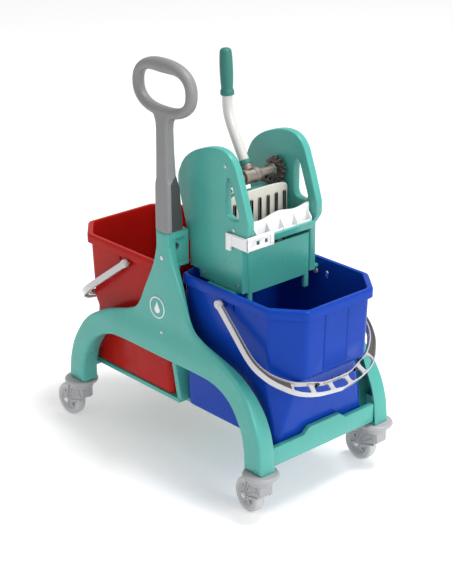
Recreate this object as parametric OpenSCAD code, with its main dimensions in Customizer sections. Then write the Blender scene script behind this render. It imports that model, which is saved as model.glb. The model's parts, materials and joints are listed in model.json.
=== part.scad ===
// Double-bucket mop trolley with a lever press wringer.
// +X runs along the trolley towards the blue bucket, -Y is the side with the push handle
// and +Z is up. The origin is on the floor, in the middle of the trolley.

/* [Chassis] */
// Distance between the front and rear castor stems
wheel_base = 600; // [540:10:720]
// Distance between the near and far castor stems
wheel_track = 336; // [320:4:400]
// Thickness of a foot across the trolley
foot_depth = 40; // [36:1:48]
// Length of a foot along the trolley
foot_len = 52; // [46:1:60]
// Height of the crown of the arch under a side panel
arch_z = 259; // [220:1:275]
// Width of the column on a side panel at its top
column_w = 35; // [33:1:44]
// Height of the top of the column
column_z = 536; // [500:1:600]
// Wall of the side panels
panel_wall = 4; // [3:0.5:5]
// Lean of the column towards the middle of the trolley
panel_lean = 20; // [12:1:24]
// Height of the end bars
end_bar_h = 42; // [36:1:50]
// Thickness of the end bars
end_bar_t = 12; // [8:1:14]
// Rise of the middle of an end bar
end_bar_rise = 13; // [6:1:18]
// Thickness of the wall between the buckets
divider_t = 14; // [8:1:15]
// Thickness of the floor that carries the buckets
tray_t = 9; // [6:1:12]

/* [Push handle] */
// Height of the top of the handle
handle_z = 896; // [820:2:960]
// Width of the handle loop along the trolley
loop_w = 195; // [150:1:220]
// Height of the handle loop
loop_h = 112; // [96:1:130]
// Thickness of the bar of the handle loop
loop_bar = 26; // [22:1:30]
// How far the handle goes down into the column
handle_tang = 86; // [60:1:110]

/* [Castors] */
// Height from the top of a wheel to the underside of the side panels' feet
castor_head = 30; // [26:1:40]
// Radius of a castor wheel
wheel_r = 38; // [32:1:42]
// Width of the tread
wheel_w = 22; // [18:1:26]
// Distance from the stem to the axle along the floor
trail = 38; // [30:1:44]
// Radius of the bumper disc
disc_r = 38; // [34:1:42]
// Radius of the stem
stem_r = 5; // [4:0.5:6]
// Radius of the axle
axle_r = 4; // [3:0.5:5]

/* [Buckets] */
// Height of the top of the rims
rim_z = 448; // [400:2:480]
// Width of a rim across the trolley
rim_w = 284; // [270:2:290]
// Depth of the rim's skirt
rim_h = 21; // [16:1:26]
// Wall of the buckets
bucket_wall = 3; // [2.5:0.5:4]
// Height of the shoulder where the outer end steps in
shoulder_z = 290; // [260:2:320]
// Step of the shoulder
shoulder_step = 26; // [12:1:30]

/* [Bails] */
// Distance from the middle of the trolley to a bail's pivot
pivot_x = 152; // [140:1:165]
// Height of the pivots below the rim
pivot_drop = 30; // [30:1:40]
// How far a hanging bail's outer edge stands off the end of its bucket's rim
bail_gap = 12.44; // [6:0.01:18]
// Angle below the horizontal at which a bail hangs on its bucket
bail_rest = 37; // [36:0.5:38]
// Thickness of a bail across its channel
bail_t = 14; // [10:1:16]
// Radius of the pivot pins
pin_r = 4; // [3:0.5:5]

/* [Wringer] */
// Width of the wringer over its side plates
wringer_w = 208; // [190:2:216]
// Thickness of the side plates
plate_t = 18; // [12:1:20]
// Height of the top of the side plates
plate_z = 723; // [690:1:760]
// Height of the lever shaft
shaft_z = 640; // [625:1:650]
// Distance of the lever shaft from the middle of the trolley
shaft_x = 85; // [78:1:92]
// Radius of the lever shaft
shaft_r = 9; // [7:0.5:10]
// Size of the gear teeth
gear_module = 4; // [3.5:0.25:4]
// Number of teeth on each pinion
gear_teeth = 12; // [12:1:13]
// Width of the pinions
gear_w = 12; // [8:1:14]

/* [Lever] */
// Radius of the lever tube
tube_r = 11; // [9:0.5:12]
// Height of the lever's top
lever_z = 893; // [850:1:930]
// Length of the hand grip
grip_len = 112; // [95:1:130]
// Radius of the hand grip
grip_r = 14.5; // [13:0.5:17]

/* [Fits] */
// Radial clearance of parts that turn on each other
running_gap = 0.06; // [0.04:0.01:0.09]
// Gap of parts that are pushed or clipped together
press_gap = 0.05; // [0.02:0.01:0.1]
// Gap between parts that stand beside each other
part_gap = 0.4; // [0.3:0.1:0.6]

/* [Hidden] */
$fn = 48;
SIDES = ["near", "far"];
ENDS = ["front", "rear"];
function corner_names(what) = [for (s = SIDES) for (e = ENDS) str(s, "_", e, "_", what)];

GREEN = "mediumaquamarine";
GREY = "darkgray";
tiny = 0.01;

foot_z = 2 * wheel_r + castor_head;
stem_x = wheel_base / 2;
stem_y = wheel_track / 2;
foot_out_x = stem_x + 20;
foot_in_x = foot_out_x - foot_len;
foot_out_y = stem_y + foot_depth / 2 - 1;
foot_in_y = foot_out_y - foot_depth;
column_out_y = foot_out_y - panel_lean;
socket_in_y = column_out_y - 56;
waist_z = arch_z + 70;
end_bar_x = foot_out_x - 6;
tray_z = foot_z + 28;
tray_top = tray_z + tray_t;
bucket_z = tray_top + part_gap;
rim_out = end_bar_x + 38;
rim_in = divider_t / 2 - 3;
pivot_z = rim_z - pivot_drop;
bail_reach = (rim_out - pivot_x + bail_gap) / cos(bail_rest);
wall_y = rim_w / 2 - 7;
pinion_r = gear_module * gear_teeth / 2;
rack_z = shaft_z - pinion_r;
plate_in = wringer_w / 2 - plate_t;
seat_z = rim_z - 14;

// ---------- shared shapes ----------

function smooth_point(a, b, c, d, t) =
    0.5 * (2 * b + (c - a) * t + (2 * a - 5 * b + 4 * c - d) * t * t
           + (3 * b - a - 3 * c + d) * t * t * t);

// A smooth open curve through the points
function smooth_curve(p, steps) =
    let (n = len(p))
    concat(
        [for (i = [0:n - 2]) for (s = [0:steps - 1])
            smooth_point(p[max(i - 1, 0)], p[i], p[i + 1], p[min(i + 2, n - 1)], s / steps)],
        [p[n - 1]]);

function reversed(p) = [for (i = [len(p) - 1:-1:0]) p[i]];
function mirrored_x(p) = [for (q = p) [-q[0], q[1]]];
function arc(c, r, from, to, n) =
    [for (i = [0:n]) c + r * [cos(from + (to - from) * i / n), sin(from + (to - from) * i / n)]];
function unit(v) = v / norm(v);
function left_of(v) = [-v[1], v[0]];

// The outline moved inwards by d, for an outline that runs anticlockwise
function inset(p, d) =
    let (n = len(p))
    [for (i = [0:n - 1])
        let (a = unit(p[i] - p[(i + n - 1) % n]),
             b = unit(p[(i + 1) % n] - p[i]),
             m = unit(left_of(a) + left_of(b)))
        p[i] + m * d / max(0.4, m * left_of(b))];

// Stands a flat outline of [x, z] points up, between two distances across the trolley
module upright(from_y, to_y) {
    translate([0, to_y, 0])
        rotate([90, 0, 0])
            linear_extrude(to_y - from_y)
                children();
}

// Extrudes a flat outline of [y, z] points along the trolley
module lengthwise(from_x, to_x) {
    translate([from_x, 0, 0])
        rotate([90, 0, 90])
            linear_extrude(to_x - from_x)
                children();
}

module block(low, high) {
    translate(low)
        cube(high - low);
}

// A rod along Y
module rod_y(x, z, r, from_y, to_y) {
    translate([x, from_y, z])
        rotate([-90, 0, 0])
            cylinder(r = r, h = to_y - from_y);
}

// Mirrors the far side from the near side
module on_side(side) {
    mirror([0, side == "far" ? 1 : 0, 0])
        children();
}

// Mirrors the rear end from the front end
module on_end(end) {
    mirror([end == "rear" ? 1 : 0, 0, 0])
        children();
}

// ---------- side panels ----------

shoulder_x = foot_out_x - 58;
panel_edge = concat([[column_w / 2, column_z]], smooth_curve(
    [[column_w / 2 + 1, column_z - 24], [column_w / 2 + 15, column_z - 76],
     [column_w / 2 + 45, column_z - 136], [column_w / 2 + 70, waist_z + 22],
     [column_w / 2 + 102, waist_z + 2], [shoulder_x - 62, arch_z + 44], [shoulder_x, arch_z + 5],
     [foot_out_x - 18, arch_z - 58], [foot_out_x - 4, arch_z - 105], [foot_out_x, foot_z]], 4));
arch_edge = smooth_curve(
    [[foot_in_x, foot_z], [foot_in_x - 1, arch_z - 118], [foot_in_x - 14, arch_z - 72],
     [foot_in_x - 43, arch_z - 31], [foot_in_x - 84, arch_z - 8], [foot_in_x - 134, arch_z],
     [0, arch_z]], 4);
panel_outline = concat(
    mirrored_x(panel_edge),
    mirrored_x(reversed([for (i = [0:len(arch_edge) - 2]) arch_edge[len(arch_edge) - 2 - i]])),
    [for (i = [len(arch_edge) - 2:-1:0]) arch_edge[i]],
    reversed(panel_edge));

// The outer face of a panel, as [distance from the middle, height]
outer_face = [[foot_out_y, 0], [foot_out_y, foot_z + 20], [foot_out_y - 2, foot_z + 90],
              [foot_out_y - 7, arch_z + 20], [column_out_y + 2, waist_z + 10],
              [column_out_y, waist_z + 60], [column_out_y, column_z + 50]];
inner_face = [[foot_in_y, 0], [foot_in_y, arch_z - 50], [foot_in_y + 7, arch_z + 20],
              [column_out_y - 5, waist_z - 2], [column_out_y - 8, waist_z + 30],
              [column_out_y - 19, waist_z + 130], [column_out_y - 28, column_z + 50]];

function pushed(p, d) = [for (q = p) [q[0] + d, q[1]]];

// The space between two upright faces, on the near side
module between_faces(outer, inner) {
    lengthwise(-foot_out_x - 1, foot_out_x + 1)
        polygon([for (q = concat(outer, reversed(inner))) [-q[0], q[1]]]);
}

module panel_shell() {
    difference() {
        intersection() {
            upright(-foot_out_y - 1, 0)
                polygon(panel_outline);
            between_faces(outer_face, inner_face);
        }
        intersection() {
            upright(-foot_out_y - 1, 0)
                polygon(inset(panel_outline, panel_wall));
            between_faces(pushed(outer_face, -panel_wall), pushed(inner_face, -30));
        }
    }
}

screw_z = (arch_z + waist_z) / 2 + 18;
socket_half_x = column_w / 2 + 2.5;
hole_z = column_z - 31;
hole_y = column_out_y - 24;

module socket_box() {
    difference() {
        block([-socket_half_x, -column_out_y + 2, column_z - 77], [socket_half_x, -socket_in_y, column_z]);
        block([-socket_half_x + 5, -column_out_y + 5, column_z - handle_tang - 2],
              [socket_half_x - 5, -column_out_y + 39, column_z + 1]);
        for (s = [-1, 1])
            block([s > 0 ? socket_half_x - 2 : -socket_half_x - 1, -column_out_y + 12, column_z - 66],
                  [s > 0 ? socket_half_x + 1 : -socket_half_x + 2, -socket_in_y - 6, column_z - 14]);
    }
}

module side_panel(side) {
    color(GREEN)
        on_side(side)
            difference() {
                union() {
                    panel_shell();
                    difference() {
                        socket_box();
                        block([-foot_out_x, -foot_out_y, 0], [foot_out_x, -column_out_y + 1, column_z]);
                    }
                    for (s = [-1, 1])
                        foot(s);
                    rod_y(0, screw_z, 8, -column_out_y - 5, -column_out_y + 13);
                    for (s = [-1, 1])
                        rod_y(s * (shoulder_x - 120), arch_z + 22, 8, -foot_out_y + 6, -foot_in_y - 9);
                }
                block([-socket_half_x + 5, -column_out_y + 5, column_z - handle_tang - 2],
                      [socket_half_x - 5, -column_out_y + 39, column_z + 1]);
                for (s = [-1, 1])
                    translate([s * stem_x, -stem_y, foot_z - 1])
                        cylinder(r = stem_r + press_gap, h = 56);
                rod_y(0, screw_z, 2.5, -foot_out_y, -column_out_y + 30);
                translate([-60, -hole_y, hole_z])
                    rotate([0, 90, 0])
                        cylinder(r = 8, h = 120);
                rod_y(0, column_z - 56, 2.5, -foot_out_y, -column_out_y + 10);
            }
}

// The closed underside of a foot and the boss that holds the castor's stem
module foot(s) {
    middle = s * (foot_in_x + foot_out_x) / 2;
    half = foot_len / 2 - panel_wall / 2;
    block([middle - half, -foot_out_y + 2, foot_z + 1], [middle + half, -foot_in_y - 1, foot_z + 6]);
    block([middle - half, -stem_y - 2, foot_z + 1], [middle + half - 6, -stem_y + 2, foot_z + 50]);
    translate([s * stem_x, -stem_y, foot_z + 0.5])
        cylinder(r = stem_r + 6, h = 60);
}

module side_panel_screws() {
    color("dimgray")
        for (side = SIDES)
            on_side(side)
                rod_y(0, screw_z, 2.5 - press_gap, -column_out_y - 1, -column_out_y + 13);
}

// ---------- base ----------

module end_bar(end) {
    rise = 52;
    color(GREEN)
        on_end(end)
            difference() {
                lengthwise(end_bar_x - end_bar_t, end_bar_x)
                    polygon([[-foot_in_y + part_gap, foot_z + 7],
                             [foot_in_y - part_gap, foot_z + 7],
                             [foot_in_y - part_gap, foot_z + 7 + end_bar_h],
                             [rise + 8, foot_z + 7 + end_bar_h],
                             [rise - 8, foot_z + 7 + end_bar_h + end_bar_rise],
                             [-rise + 8, foot_z + 7 + end_bar_h + end_bar_rise],
                             [-rise - 8, foot_z + 7 + end_bar_h],
                             [-foot_in_y + part_gap, foot_z + 7 + end_bar_h]]);
                block([end_bar_x - end_bar_t - 1, -foot_in_y + 8, foot_z + 6],
                      [end_bar_x - 4, foot_in_y - 8, foot_z + 7 + end_bar_h - 6]);
            }
}

tray_end = end_bar_x - end_bar_t - part_gap;
rear_rail_y = rim_w / 2 - 14;
front_rail_y = rear_rail_y - 20;

module base_tray() {
    color(GREEN)
        difference() {
            union() {
                block([-tray_end, -rear_rail_y, tray_z], [0, rear_rail_y, tray_top]);
                block([-tiny, -front_rail_y, tray_z], [tray_end, front_rail_y, tray_top]);
            }
            for (s = [-1, 1])
                for (i = [0:3])
                    for (j = [-1, 0, 1])
                        block([s * (54 + i * 64) - 24, j * 70 - 28, tray_z - 1],
                              [s * (54 + i * 64) + 24, j * 70 + 28, tray_top + 1]);
        }
}

module bucket_divider() {
    top = arch_z + 22;
    color(GREEN)
        difference() {
            lengthwise(-divider_t / 2, divider_t / 2)
                polygon(concat(
                    [[-rear_rail_y, tray_top + part_gap], [rear_rail_y, tray_top + part_gap]],
                    smooth_curve([[foot_in_y - 6, top - 50], [foot_in_y - 20, top - 10],
                                  [foot_in_y - 58, top]], 4),
                    smooth_curve([[-foot_in_y + 58, top], [-foot_in_y + 20, top - 10],
                                  [-foot_in_y + 6, top - 50]], 4)));
            block([-divider_t / 2 + 4, -rear_rail_y + 6, tray_top - 1],
                  [divider_t / 2 - 4, rear_rail_y - 6, top - 22]);
        }
}

// ---------- push handle ----------

ring_y = -column_out_y + 24;
ring_z = handle_z - loop_h / 2;
ring_a = (loop_w - loop_bar) / 2;
ring_b = (loop_h - loop_bar) / 2;

// The bar of the loop is thicker under the palm and swells into the neck at its foot
function bar_thickness(angle) =
    loop_bar + 13 * pow(max(0, sin(angle)), 6) + 10 * pow(max(0, -sin(angle)), 6);

module handle_loop() {
    steps = 48;
    sides = 12;
    points = [for (i = [0:steps - 1])
        let (t = 360 * i / steps,
             out = unit([ring_b * cos(t), ring_a * sin(t)]),
             extra = bar_thickness(t) - loop_bar,
             middle = [ring_a * cos(t), ring_b * sin(t)] - out * extra / 2)
        for (j = [0:sides - 1])
            let (u = 360 * (j + 0.5) / sides,
                 w = middle + out * (loop_bar + extra) / 2 * cos(u))
            [w[0], ring_y + loop_bar / 2 * sin(u) * 1.08, ring_z + w[1]]];
    faces = [for (i = [0:steps - 1]) for (j = [0:sides - 1])
        let (a = i * sides + j, b = i * sides + (j + 1) % sides,
             c = ((i + 1) % steps) * sides + (j + 1) % sides, d = ((i + 1) % steps) * sides + j)
        each [[a, c, b], [a, d, c]]];
    polyhedron(points, faces);
}

neck_edge = smooth_curve(
    [[column_w / 2 + 5, column_z + part_gap], [column_w / 2 + 4.5, column_z + 90],
     [column_w / 2 + 2, column_z + 112], [column_w / 2 - 0.5, column_z + 180],
     [column_w / 2, ring_z - ring_b - 22], [column_w / 2 + 12, ring_z - ring_b - 6],
     [column_w / 2 + 24, ring_z - ring_b + 2]], 4);

module push_handle() {
    neck_y = -column_out_y;
    color(GREY)
        difference() {
            union() {
                handle_loop();
                intersection() {
                    upright(-foot_out_y, 0)
                        polygon(concat(mirrored_x(neck_edge), reversed(neck_edge)));
                    lengthwise(-loop_w, loop_w)
                        polygon([[neck_y, column_z - 20], [neck_y + 36, column_z - 20],
                                 [neck_y + 36, column_z + 90], [neck_y + 32, column_z + 180],
                                 [ring_y + loop_bar / 2 - 2, ring_z - ring_b - 8],
                                 [ring_y + loop_bar / 2 - 3, ring_z - ring_b + 6],
                                 [ring_y - loop_bar / 2 + 3, ring_z - ring_b + 6],
                                 [ring_y - loop_bar / 2 + 2, ring_z - ring_b - 8],
                                 [neck_y + 6, column_z + 180]]);
                }
                block([-socket_half_x + 5 + part_gap, neck_y + 5 + part_gap, column_z - handle_tang],
                      [socket_half_x - 5 - part_gap, neck_y + 39 - part_gap, column_z + 1]);
            }
            translate([-60, -hole_y, hole_z])
                rotate([0, 90, 0])
                    cylinder(r = 8, h = 120);
            rod_y(0, column_z - 56, 2.5, neck_y, neck_y + 30);
            for (s = [-1, 1])
                block([s > 0 ? column_w / 2 - 4 : -column_w / 2 - 8, neck_y + 16, column_z + 6],
                      [s > 0 ? column_w / 2 + 8 : -column_w / 2 + 4, neck_y + 30, column_z + 96]);
        }
}

module handle_screws() {
    color("dimgray")
        rod_y(0, column_z - 56, 2.5 - press_gap, -column_out_y - 1, -column_out_y + 28);
}

// ---------- castors ----------

castor_names = corner_names("");
castor_turn = [-7, 4, 3, -4];
disc_top = foot_z - 1;
disc_z = disc_top - 11;
fork_top = disc_z;
cheek_in = wheel_w / 2 + 1.5;
cheek_t = 3.5;

module at_castor(i) {
    translate([(i % 2 == 0 ? 1 : -1) * stem_x, (i < 2 ? -1 : 1) * stem_y, 0])
        rotate([0, 0, castor_turn[i]])
            children();
}

module castor_stem(i) {
    color("silver")
        at_castor(i) {
            translate([0, 0, fork_top - 22])
                cylinder(r = stem_r + 3, h = 5);
            translate([0, 0, fork_top - 20])
                cylinder(r = stem_r, h = foot_z + 50 - fork_top + 20);
        }
}

module castor_disc(i) {
    color(GREY)
        at_castor(i)
            rotate_extrude()
                polygon(concat(
                    [[stem_r + 1, disc_z + 2], [disc_r - 8, disc_z]],
                    arc([disc_r - 5, disc_z + 5], 5, -90, 0, 5),
                    arc([disc_r - 6, disc_top - 6], 6, 0, 90, 5),
                    [[stem_r + 1, disc_top]]));
}

module castor_cheek() {
    upright(-cheek_t / 2, cheek_t / 2)
        polygon(concat(
            arc([-trail, wheel_r], 9, 130, 292, 8),
            [[-trail + 9, wheel_r - 7], [8, 52], [16, 66], [19, fork_top - 2], [-24, fork_top - 2]]));
}

module castor_fork(i) {
    color(GREY)
        at_castor(i)
            difference() {
                union() {
                    translate([0, 0, fork_top - 13])
                        cylinder(r = 26, h = 13 - part_gap);
                    for (s = [-1, 1])
                        translate([0, s * (cheek_in + cheek_t / 2), 0])
                            castor_cheek();
                    block([9, -cheek_in - cheek_t, 58], [19, cheek_in + cheek_t, fork_top - 2]);
                }
                translate([0, 0, fork_top - 30])
                    cylinder(r = stem_r + running_gap, h = 60);
                translate([0, 0, fork_top - 40])
                    cylinder(r = stem_r + 3.6, h = 27.5);
                rod_y(-trail, wheel_r, axle_r + press_gap, -40, 40);
            }
}

module castor_axle(i) {
    reach = cheek_in + cheek_t;
    color("silver")
        at_castor(i) {
            rod_y(-trail, wheel_r, axle_r, -reach - 1.5, reach + 1.5);
            for (s = [-1, 1])
                rod_y(-trail, wheel_r, axle_r + 2.5, s > 0 ? reach + press_gap : -reach - 2.5,
                      s > 0 ? reach + 2.5 : -reach - press_gap);
        }
}

rim_r = wheel_r - 9;

module castor_wheel(i) {
    half = wheel_w / 2;
    color("lightgray")
        at_castor(i)
            translate([-trail, 0, wheel_r])
                rotate([90, 0, 0])
                    difference() {
                        rotate_extrude()
                            polygon([[0, -half - 1], [rim_r - 5, -half - 0.5], [rim_r - 4, -half + 1.5],
                                     [rim_r - 2.5, -half + 1.5], [rim_r - 2, -half], [rim_r, -half],
                                     [rim_r, half], [rim_r - 2, half], [rim_r - 2.5, half - 1.5],
                                     [rim_r - 4, half - 1.5], [rim_r - 5, half + 0.5], [0, half + 1]]);
                        translate([0, 0, -20])
                            cylinder(r = axle_r + running_gap, h = 40);
                    }
}

module castor_tyre(i) {
    half = wheel_w / 2;
    color("gainsboro")
        at_castor(i)
            translate([-trail, 0, wheel_r])
                rotate([90, 0, 0])
                    rotate_extrude($fn = 72)
                        polygon(concat(
                            [[rim_r + press_gap, half], [rim_r + press_gap, -half]],
                            arc([wheel_r - 4, -half + 4], 4, -90, 0, 5),
                            arc([wheel_r - 4, half - 4], 4, 0, 90, 5)));
}

// ---------- buckets ----------

// An eight-sided ring of a bucket: inner end, outer end, half width, and the outer and inner
// corners' cuts along and across the trolley
function ring(z, in, out, half, cut, back) =
    [[out - cut[0], -half, z], [out, -half + cut[1], z], [out, half - cut[1], z], [out - cut[0], half, z],
     [in + back[0], half, z], [in, half - back[1], z], [in, -half + back[1], z], [in + back[0], -half, z]];

module loft(rings) {
    n = len(rings[0]);
    m = len(rings);
    points = [for (r = rings) each r];
    faces = concat(
        [[for (j = [0:n - 1]) n - 1 - j]],
        [[for (j = [0:n - 1]) (m - 1) * n + j]],
        [for (i = [0:m - 2]) for (j = [0:n - 1])
            let (a = i * n + j, b = i * n + (j + 1) % n, c = b + n, d = a + n)
            each [[a, b, c], [a, c, d]]]);
    polyhedron(points, [for (f = faces) reversed(f)]);
}

wall_out = rim_out - 7;
wall_in = rim_in + 7;
corner_cut = [60, 48];
// The inner end narrows towards its corners, so that a bucket lifts past the column sockets
inner_cut = [17, 90];

// The rings of the bucket's wall, moved inwards by d
function wall_rings(d, low, high) = [
    ring(low, wall_in - 1.5 + d, wall_out - shoulder_step - 21 - d, wall_y - 9 - d,
         [5, 5], inner_cut - [1, 10]),
    ring(shoulder_z - 8, wall_in - 1 + d, wall_out - shoulder_step - 4 - d, wall_y - 4 - d,
         [42, 50], inner_cut),
    ring(shoulder_z + 8, wall_in - 0.8 + d, wall_out - 5 - d, wall_y - 3 - d, corner_cut, inner_cut),
    ring(seat_z - 2.5, wall_in - 0.2 + d, wall_out - d, wall_y - 0.5 - d, corner_cut, inner_cut),
    ring(high, wall_in + d, wall_out - d, wall_y - d, corner_cut, inner_cut)];

// Where the pads that carry the wringer's seat frame stand along the long walls
seat_pads = [pivot_x - 62, pivot_x - 18];

module bucket_body() {
    difference() {
        union() {
            loft(wall_rings(0, bucket_z, rim_z));
            loft([for (z = [rim_z - rim_h, rim_z])
                ring(z, rim_in, rim_out, rim_w / 2, corner_cut + [2, 2], inner_cut + [9, 10])]);
            for (s = [-1, 1])
                rod_y(pivot_x, pivot_z, 10,
                      s > 0 ? wall_y - 8 : -wall_y - 1.5,
                      s > 0 ? wall_y + 1.5 : -wall_y + 8);
        }
        difference() {
            loft([for (z = [rim_z - rim_h - 1, rim_z - 4])
                ring(z, rim_in + 3, rim_out - 3, rim_w / 2 - 3, corner_cut + [2, 2], inner_cut + [9, 10])]);
            loft(wall_rings(0, bucket_z, rim_z));
            for (s = [-1, 1])
                rod_y(pivot_x, pivot_z, 10,
                      s > 0 ? wall_y - 8 : -wall_y - 1.5,
                      s > 0 ? wall_y + 1.5 : -wall_y + 8);
        }
        difference() {
            loft(wall_rings(bucket_wall, bucket_z + bucket_wall + 1, rim_z + 1));
            for (s = [-1, 1])
                for (x = seat_pads)
                    block([x - 8, s > 0 ? wall_y - bucket_wall - 6 : -wall_y, seat_z - 17],
                          [x + 8, s > 0 ? wall_y : -wall_y + bucket_wall + 6, seat_z - 7 - press_gap]);
        }
        for (s = [-1, 1])
            rod_y(pivot_x, pivot_z, pin_r + running_gap, s > 0 ? wall_y - 10 : -wall_y - 10,
                  s > 0 ? wall_y + 10 : -wall_y + 10);
        for (s = [-1, 1])
            block([pivot_x + 26, s > 0 ? wall_y - 9 : -wall_y - 9, pivot_z - 7],
                  [pivot_x + 34, s > 0 ? wall_y + 9 : -wall_y + 9, pivot_z + 7]);
        rod_y(pivot_x + 30, pivot_z - 7, 4, -wall_y - 9, wall_y + 9);
    }
}

module blue_bucket() {
    color("mediumblue")
        bucket_body();
}

module red_bucket() {
    color("firebrick")
        on_end("rear")
            bucket_body();
}

// ---------- bails ----------

arm_y = rim_w / 2 + 1;
bail_outer = smooth_curve(
    [[0, arm_y + 8], [60, arm_y + 15], [140, arm_y + 23], [bail_reach - 80, arm_y + 11],
     [bail_reach - 48, arm_y - 12], [bail_reach - 24, arm_y - 40], [bail_reach - 8, arm_y - 82],
     [bail_reach, 0]], 5);
bail_inner = smooth_curve(
    [[0, arm_y], [60, arm_y + 6], [134, arm_y + 13], [bail_reach - 93, arm_y + 3],
     [bail_reach - 67, arm_y - 19], [bail_reach - 49, arm_y - 45], [bail_reach - 40, arm_y - 72],
     [bail_reach - 29, arm_y - 104], [bail_reach - 27, 0]], 5);

function both_arms(p) = concat([for (q = p) [q[0], -q[1]]], [for (i = [len(p) - 2:-1:0]) p[i]]);

bail_outline = concat(both_arms(bail_outer), reversed(both_arms(bail_inner)));
grip_windows = 5;

module bail_blank() {
    difference() {
        translate([0, 0, -bail_t / 2])
            linear_extrude(bail_t)
                polygon(bail_outline);
        for (s = [0, 1])
            mirror([0, 0, s])
                translate([0, 0, 2])
                    linear_extrude(bail_t)
                        polygon(inset(bail_outline, 2.6));
        for (i = [0:grip_windows - 1])
            block([bail_reach - 22, (i - 2) * 27 - 9.5, -bail_t],
                  [bail_reach - 6, (i - 2) * 27 + 9.5, bail_t]);
    }
}

module bail() {
    translate([pivot_x, 0, pivot_z])
        rotate([0, bail_rest, 0])
            union() {
                bail_blank();
                for (s = [-1, 1]) {
                    rod_y(0, 0, 8.5, s > 0 ? arm_y : -arm_y - 8, s > 0 ? arm_y + 8 : -arm_y);
                    rod_y(0, 0, pin_r, s > 0 ? wall_y - 6 : -arm_y - 1, s > 0 ? arm_y + 1 : -wall_y + 6);
                    rod_y(0, 0, pin_r + 2,
                          s > 0 ? wall_y - 9.5 : -wall_y + 6,
                          s > 0 ? wall_y - 6 : -wall_y + 9.5);
                }
                for (i = [0:5])
                    block([bail_reach - 30, (i - 2.5) * 22 - 3, 0],
                          [bail_reach - 25, (i - 2.5) * 22 + 3, bail_t / 2 + 2.5]);
            }
}

module blue_bail() {
    color("silver")
        bail();
}

module red_bail() {
    color("silver")
        on_end("rear")
            bail();
}

// ---------- wringer ----------

wringer_front = shaft_x + 90;
wringer_back = shaft_x - 71;
plate_bottom = seat_z + part_gap;
nose_x = shaft_x + 107;
rim_notch = 30;
plate_outline = reversed(concat(
    [[wringer_back + rim_notch, plate_bottom], [wringer_back + rim_notch, rim_z + 3],
     [wringer_back, rim_z + 3]],
    smooth_curve([[wringer_back, plate_bottom + 68], [shaft_x - 94, plate_z - 144],
                  [shaft_x - 106, plate_z - 91],
                  [shaft_x - 97, plate_z - 60], [shaft_x - 80, plate_z - 37], [shaft_x - 48, plate_z - 16],
                  [shaft_x - 2, plate_z - 1], [shaft_x + 34, plate_z], [shaft_x + 57, plate_z - 11],
                  [shaft_x + 71, plate_z - 29]], 4),
    [[shaft_x + 89, plate_z - 76], [nose_x, plate_z - 129], [nose_x + 1, plate_z - 135],
     [nose_x + 1, plate_z - 158], [wringer_front, plate_z - 186], [wringer_front, plate_bottom]]));
hand_hole = reversed(concat(
    smooth_curve([[shaft_x + 41, plate_z - 84], [shaft_x + 43, plate_z - 62], [shaft_x + 49, plate_z - 52],
                  [shaft_x + 57, plate_z - 62]], 3),
    smooth_curve([[shaft_x + 80, plate_z - 124], [shaft_x + 78, plate_z - 134], [shaft_x + 66, plate_z - 137],
                  [shaft_x + 47, plate_z - 133], [shaft_x + 41, plate_z - 122]], 3)));

module wringer_plate(side) {
    skin = 3.5;
    color(GREEN)
        on_side(side)
            difference() {
                upright(-wringer_w / 2, -plate_in)
                    polygon(plate_outline);
                difference() {
                    upright(-wringer_w / 2 + skin, -plate_in - skin)
                        polygon(inset(plate_outline, skin));
                    upright(-wringer_w / 2, 0)
                        polygon(inset(hand_hole, -skin));
                    rod_y(shaft_x, shaft_z, shaft_r + 5, -wringer_w / 2, 0);
                    for (p = plate_screws)
                        rod_y(p[0], p[1], 6, -wringer_w / 2, 0);
                }
                upright(-wringer_w, 0)
                    polygon(hand_hole);
                rod_y(shaft_x, shaft_z, shaft_r + running_gap, -plate_in - 12, 0);
                for (p = plate_screws)
                    rod_y(p[0], p[1], 2, -wringer_w / 2 - 1, 0);
            }
}

plate_screws = [[wringer_back + rim_notch + 12, plate_bottom + 14], [wringer_front - 12, plate_bottom + 14],
                [shaft_x + 66, plate_z - 158], [shaft_x + 42, plate_z - 30]];

module wringer_screws() {
    color("gainsboro")
        for (side = SIDES)
            on_side(side)
                for (p = plate_screws) {
                    rod_y(p[0], p[1], 2 - press_gap, -wringer_w / 2 - 0.6, -plate_in);
                    rod_y(p[0], p[1], 3.6, -wringer_w / 2 - 1.4, -wringer_w / 2 - press_gap);
                }
}

inside = plate_in - part_gap;

module wringer_front_wall() {
    color(GREEN)
        union() {
            block([wringer_front - 7, -inside, plate_bottom - 6],
                  [wringer_front - 2, inside, plate_bottom + 86]);
            for (s = [-1, 1])
                block([wringer_front - 10, s > 0 ? inside - 12 : -inside, seat_z - 34],
                      [wringer_front - 2, s > 0 ? inside : -inside + 12, plate_bottom + 20]);
        }
}

module wringer_back_wall() {
    color(GREEN)
        block([wringer_back + 4, -inside, rim_z + 2], [wringer_back + 8, inside, plate_bottom + 146]);
}

module wringer_seat_frame() {
    reach = wall_y - bucket_wall - 0.5 - part_gap;
    color(GREEN)
        difference() {
            block([wall_in + corner_cut[0] + 4, -reach, seat_z - 7], [wringer_front - 18, reach, seat_z]);
            block([wall_in + corner_cut[0] + 14, -plate_in + 6, seat_z - 8],
                  [wringer_front - 28, plate_in - 6, seat_z + 1]);
        }
}

module wringer_drain_grid() {
    from_x = wringer_back + 9;
    to_x = wringer_front - 19;
    slots = 8;
    pitch = (to_x - from_x - 10) / slots;
    color(GREEN)
        difference() {
            block([from_x, -inside, seat_z + part_gap], [to_x, inside, seat_z + 4]);
            for (i = [0:slots - 1])
                for (j = [-1, 0, 1])
                    block([from_x + 7 + i * pitch, j * 56 - 24, seat_z - 1],
                          [from_x + 7 + i * pitch + pitch - 6, j * 56 + 24, seat_z + 5]);
        }
}

lip_z = plate_z - 185;

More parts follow.
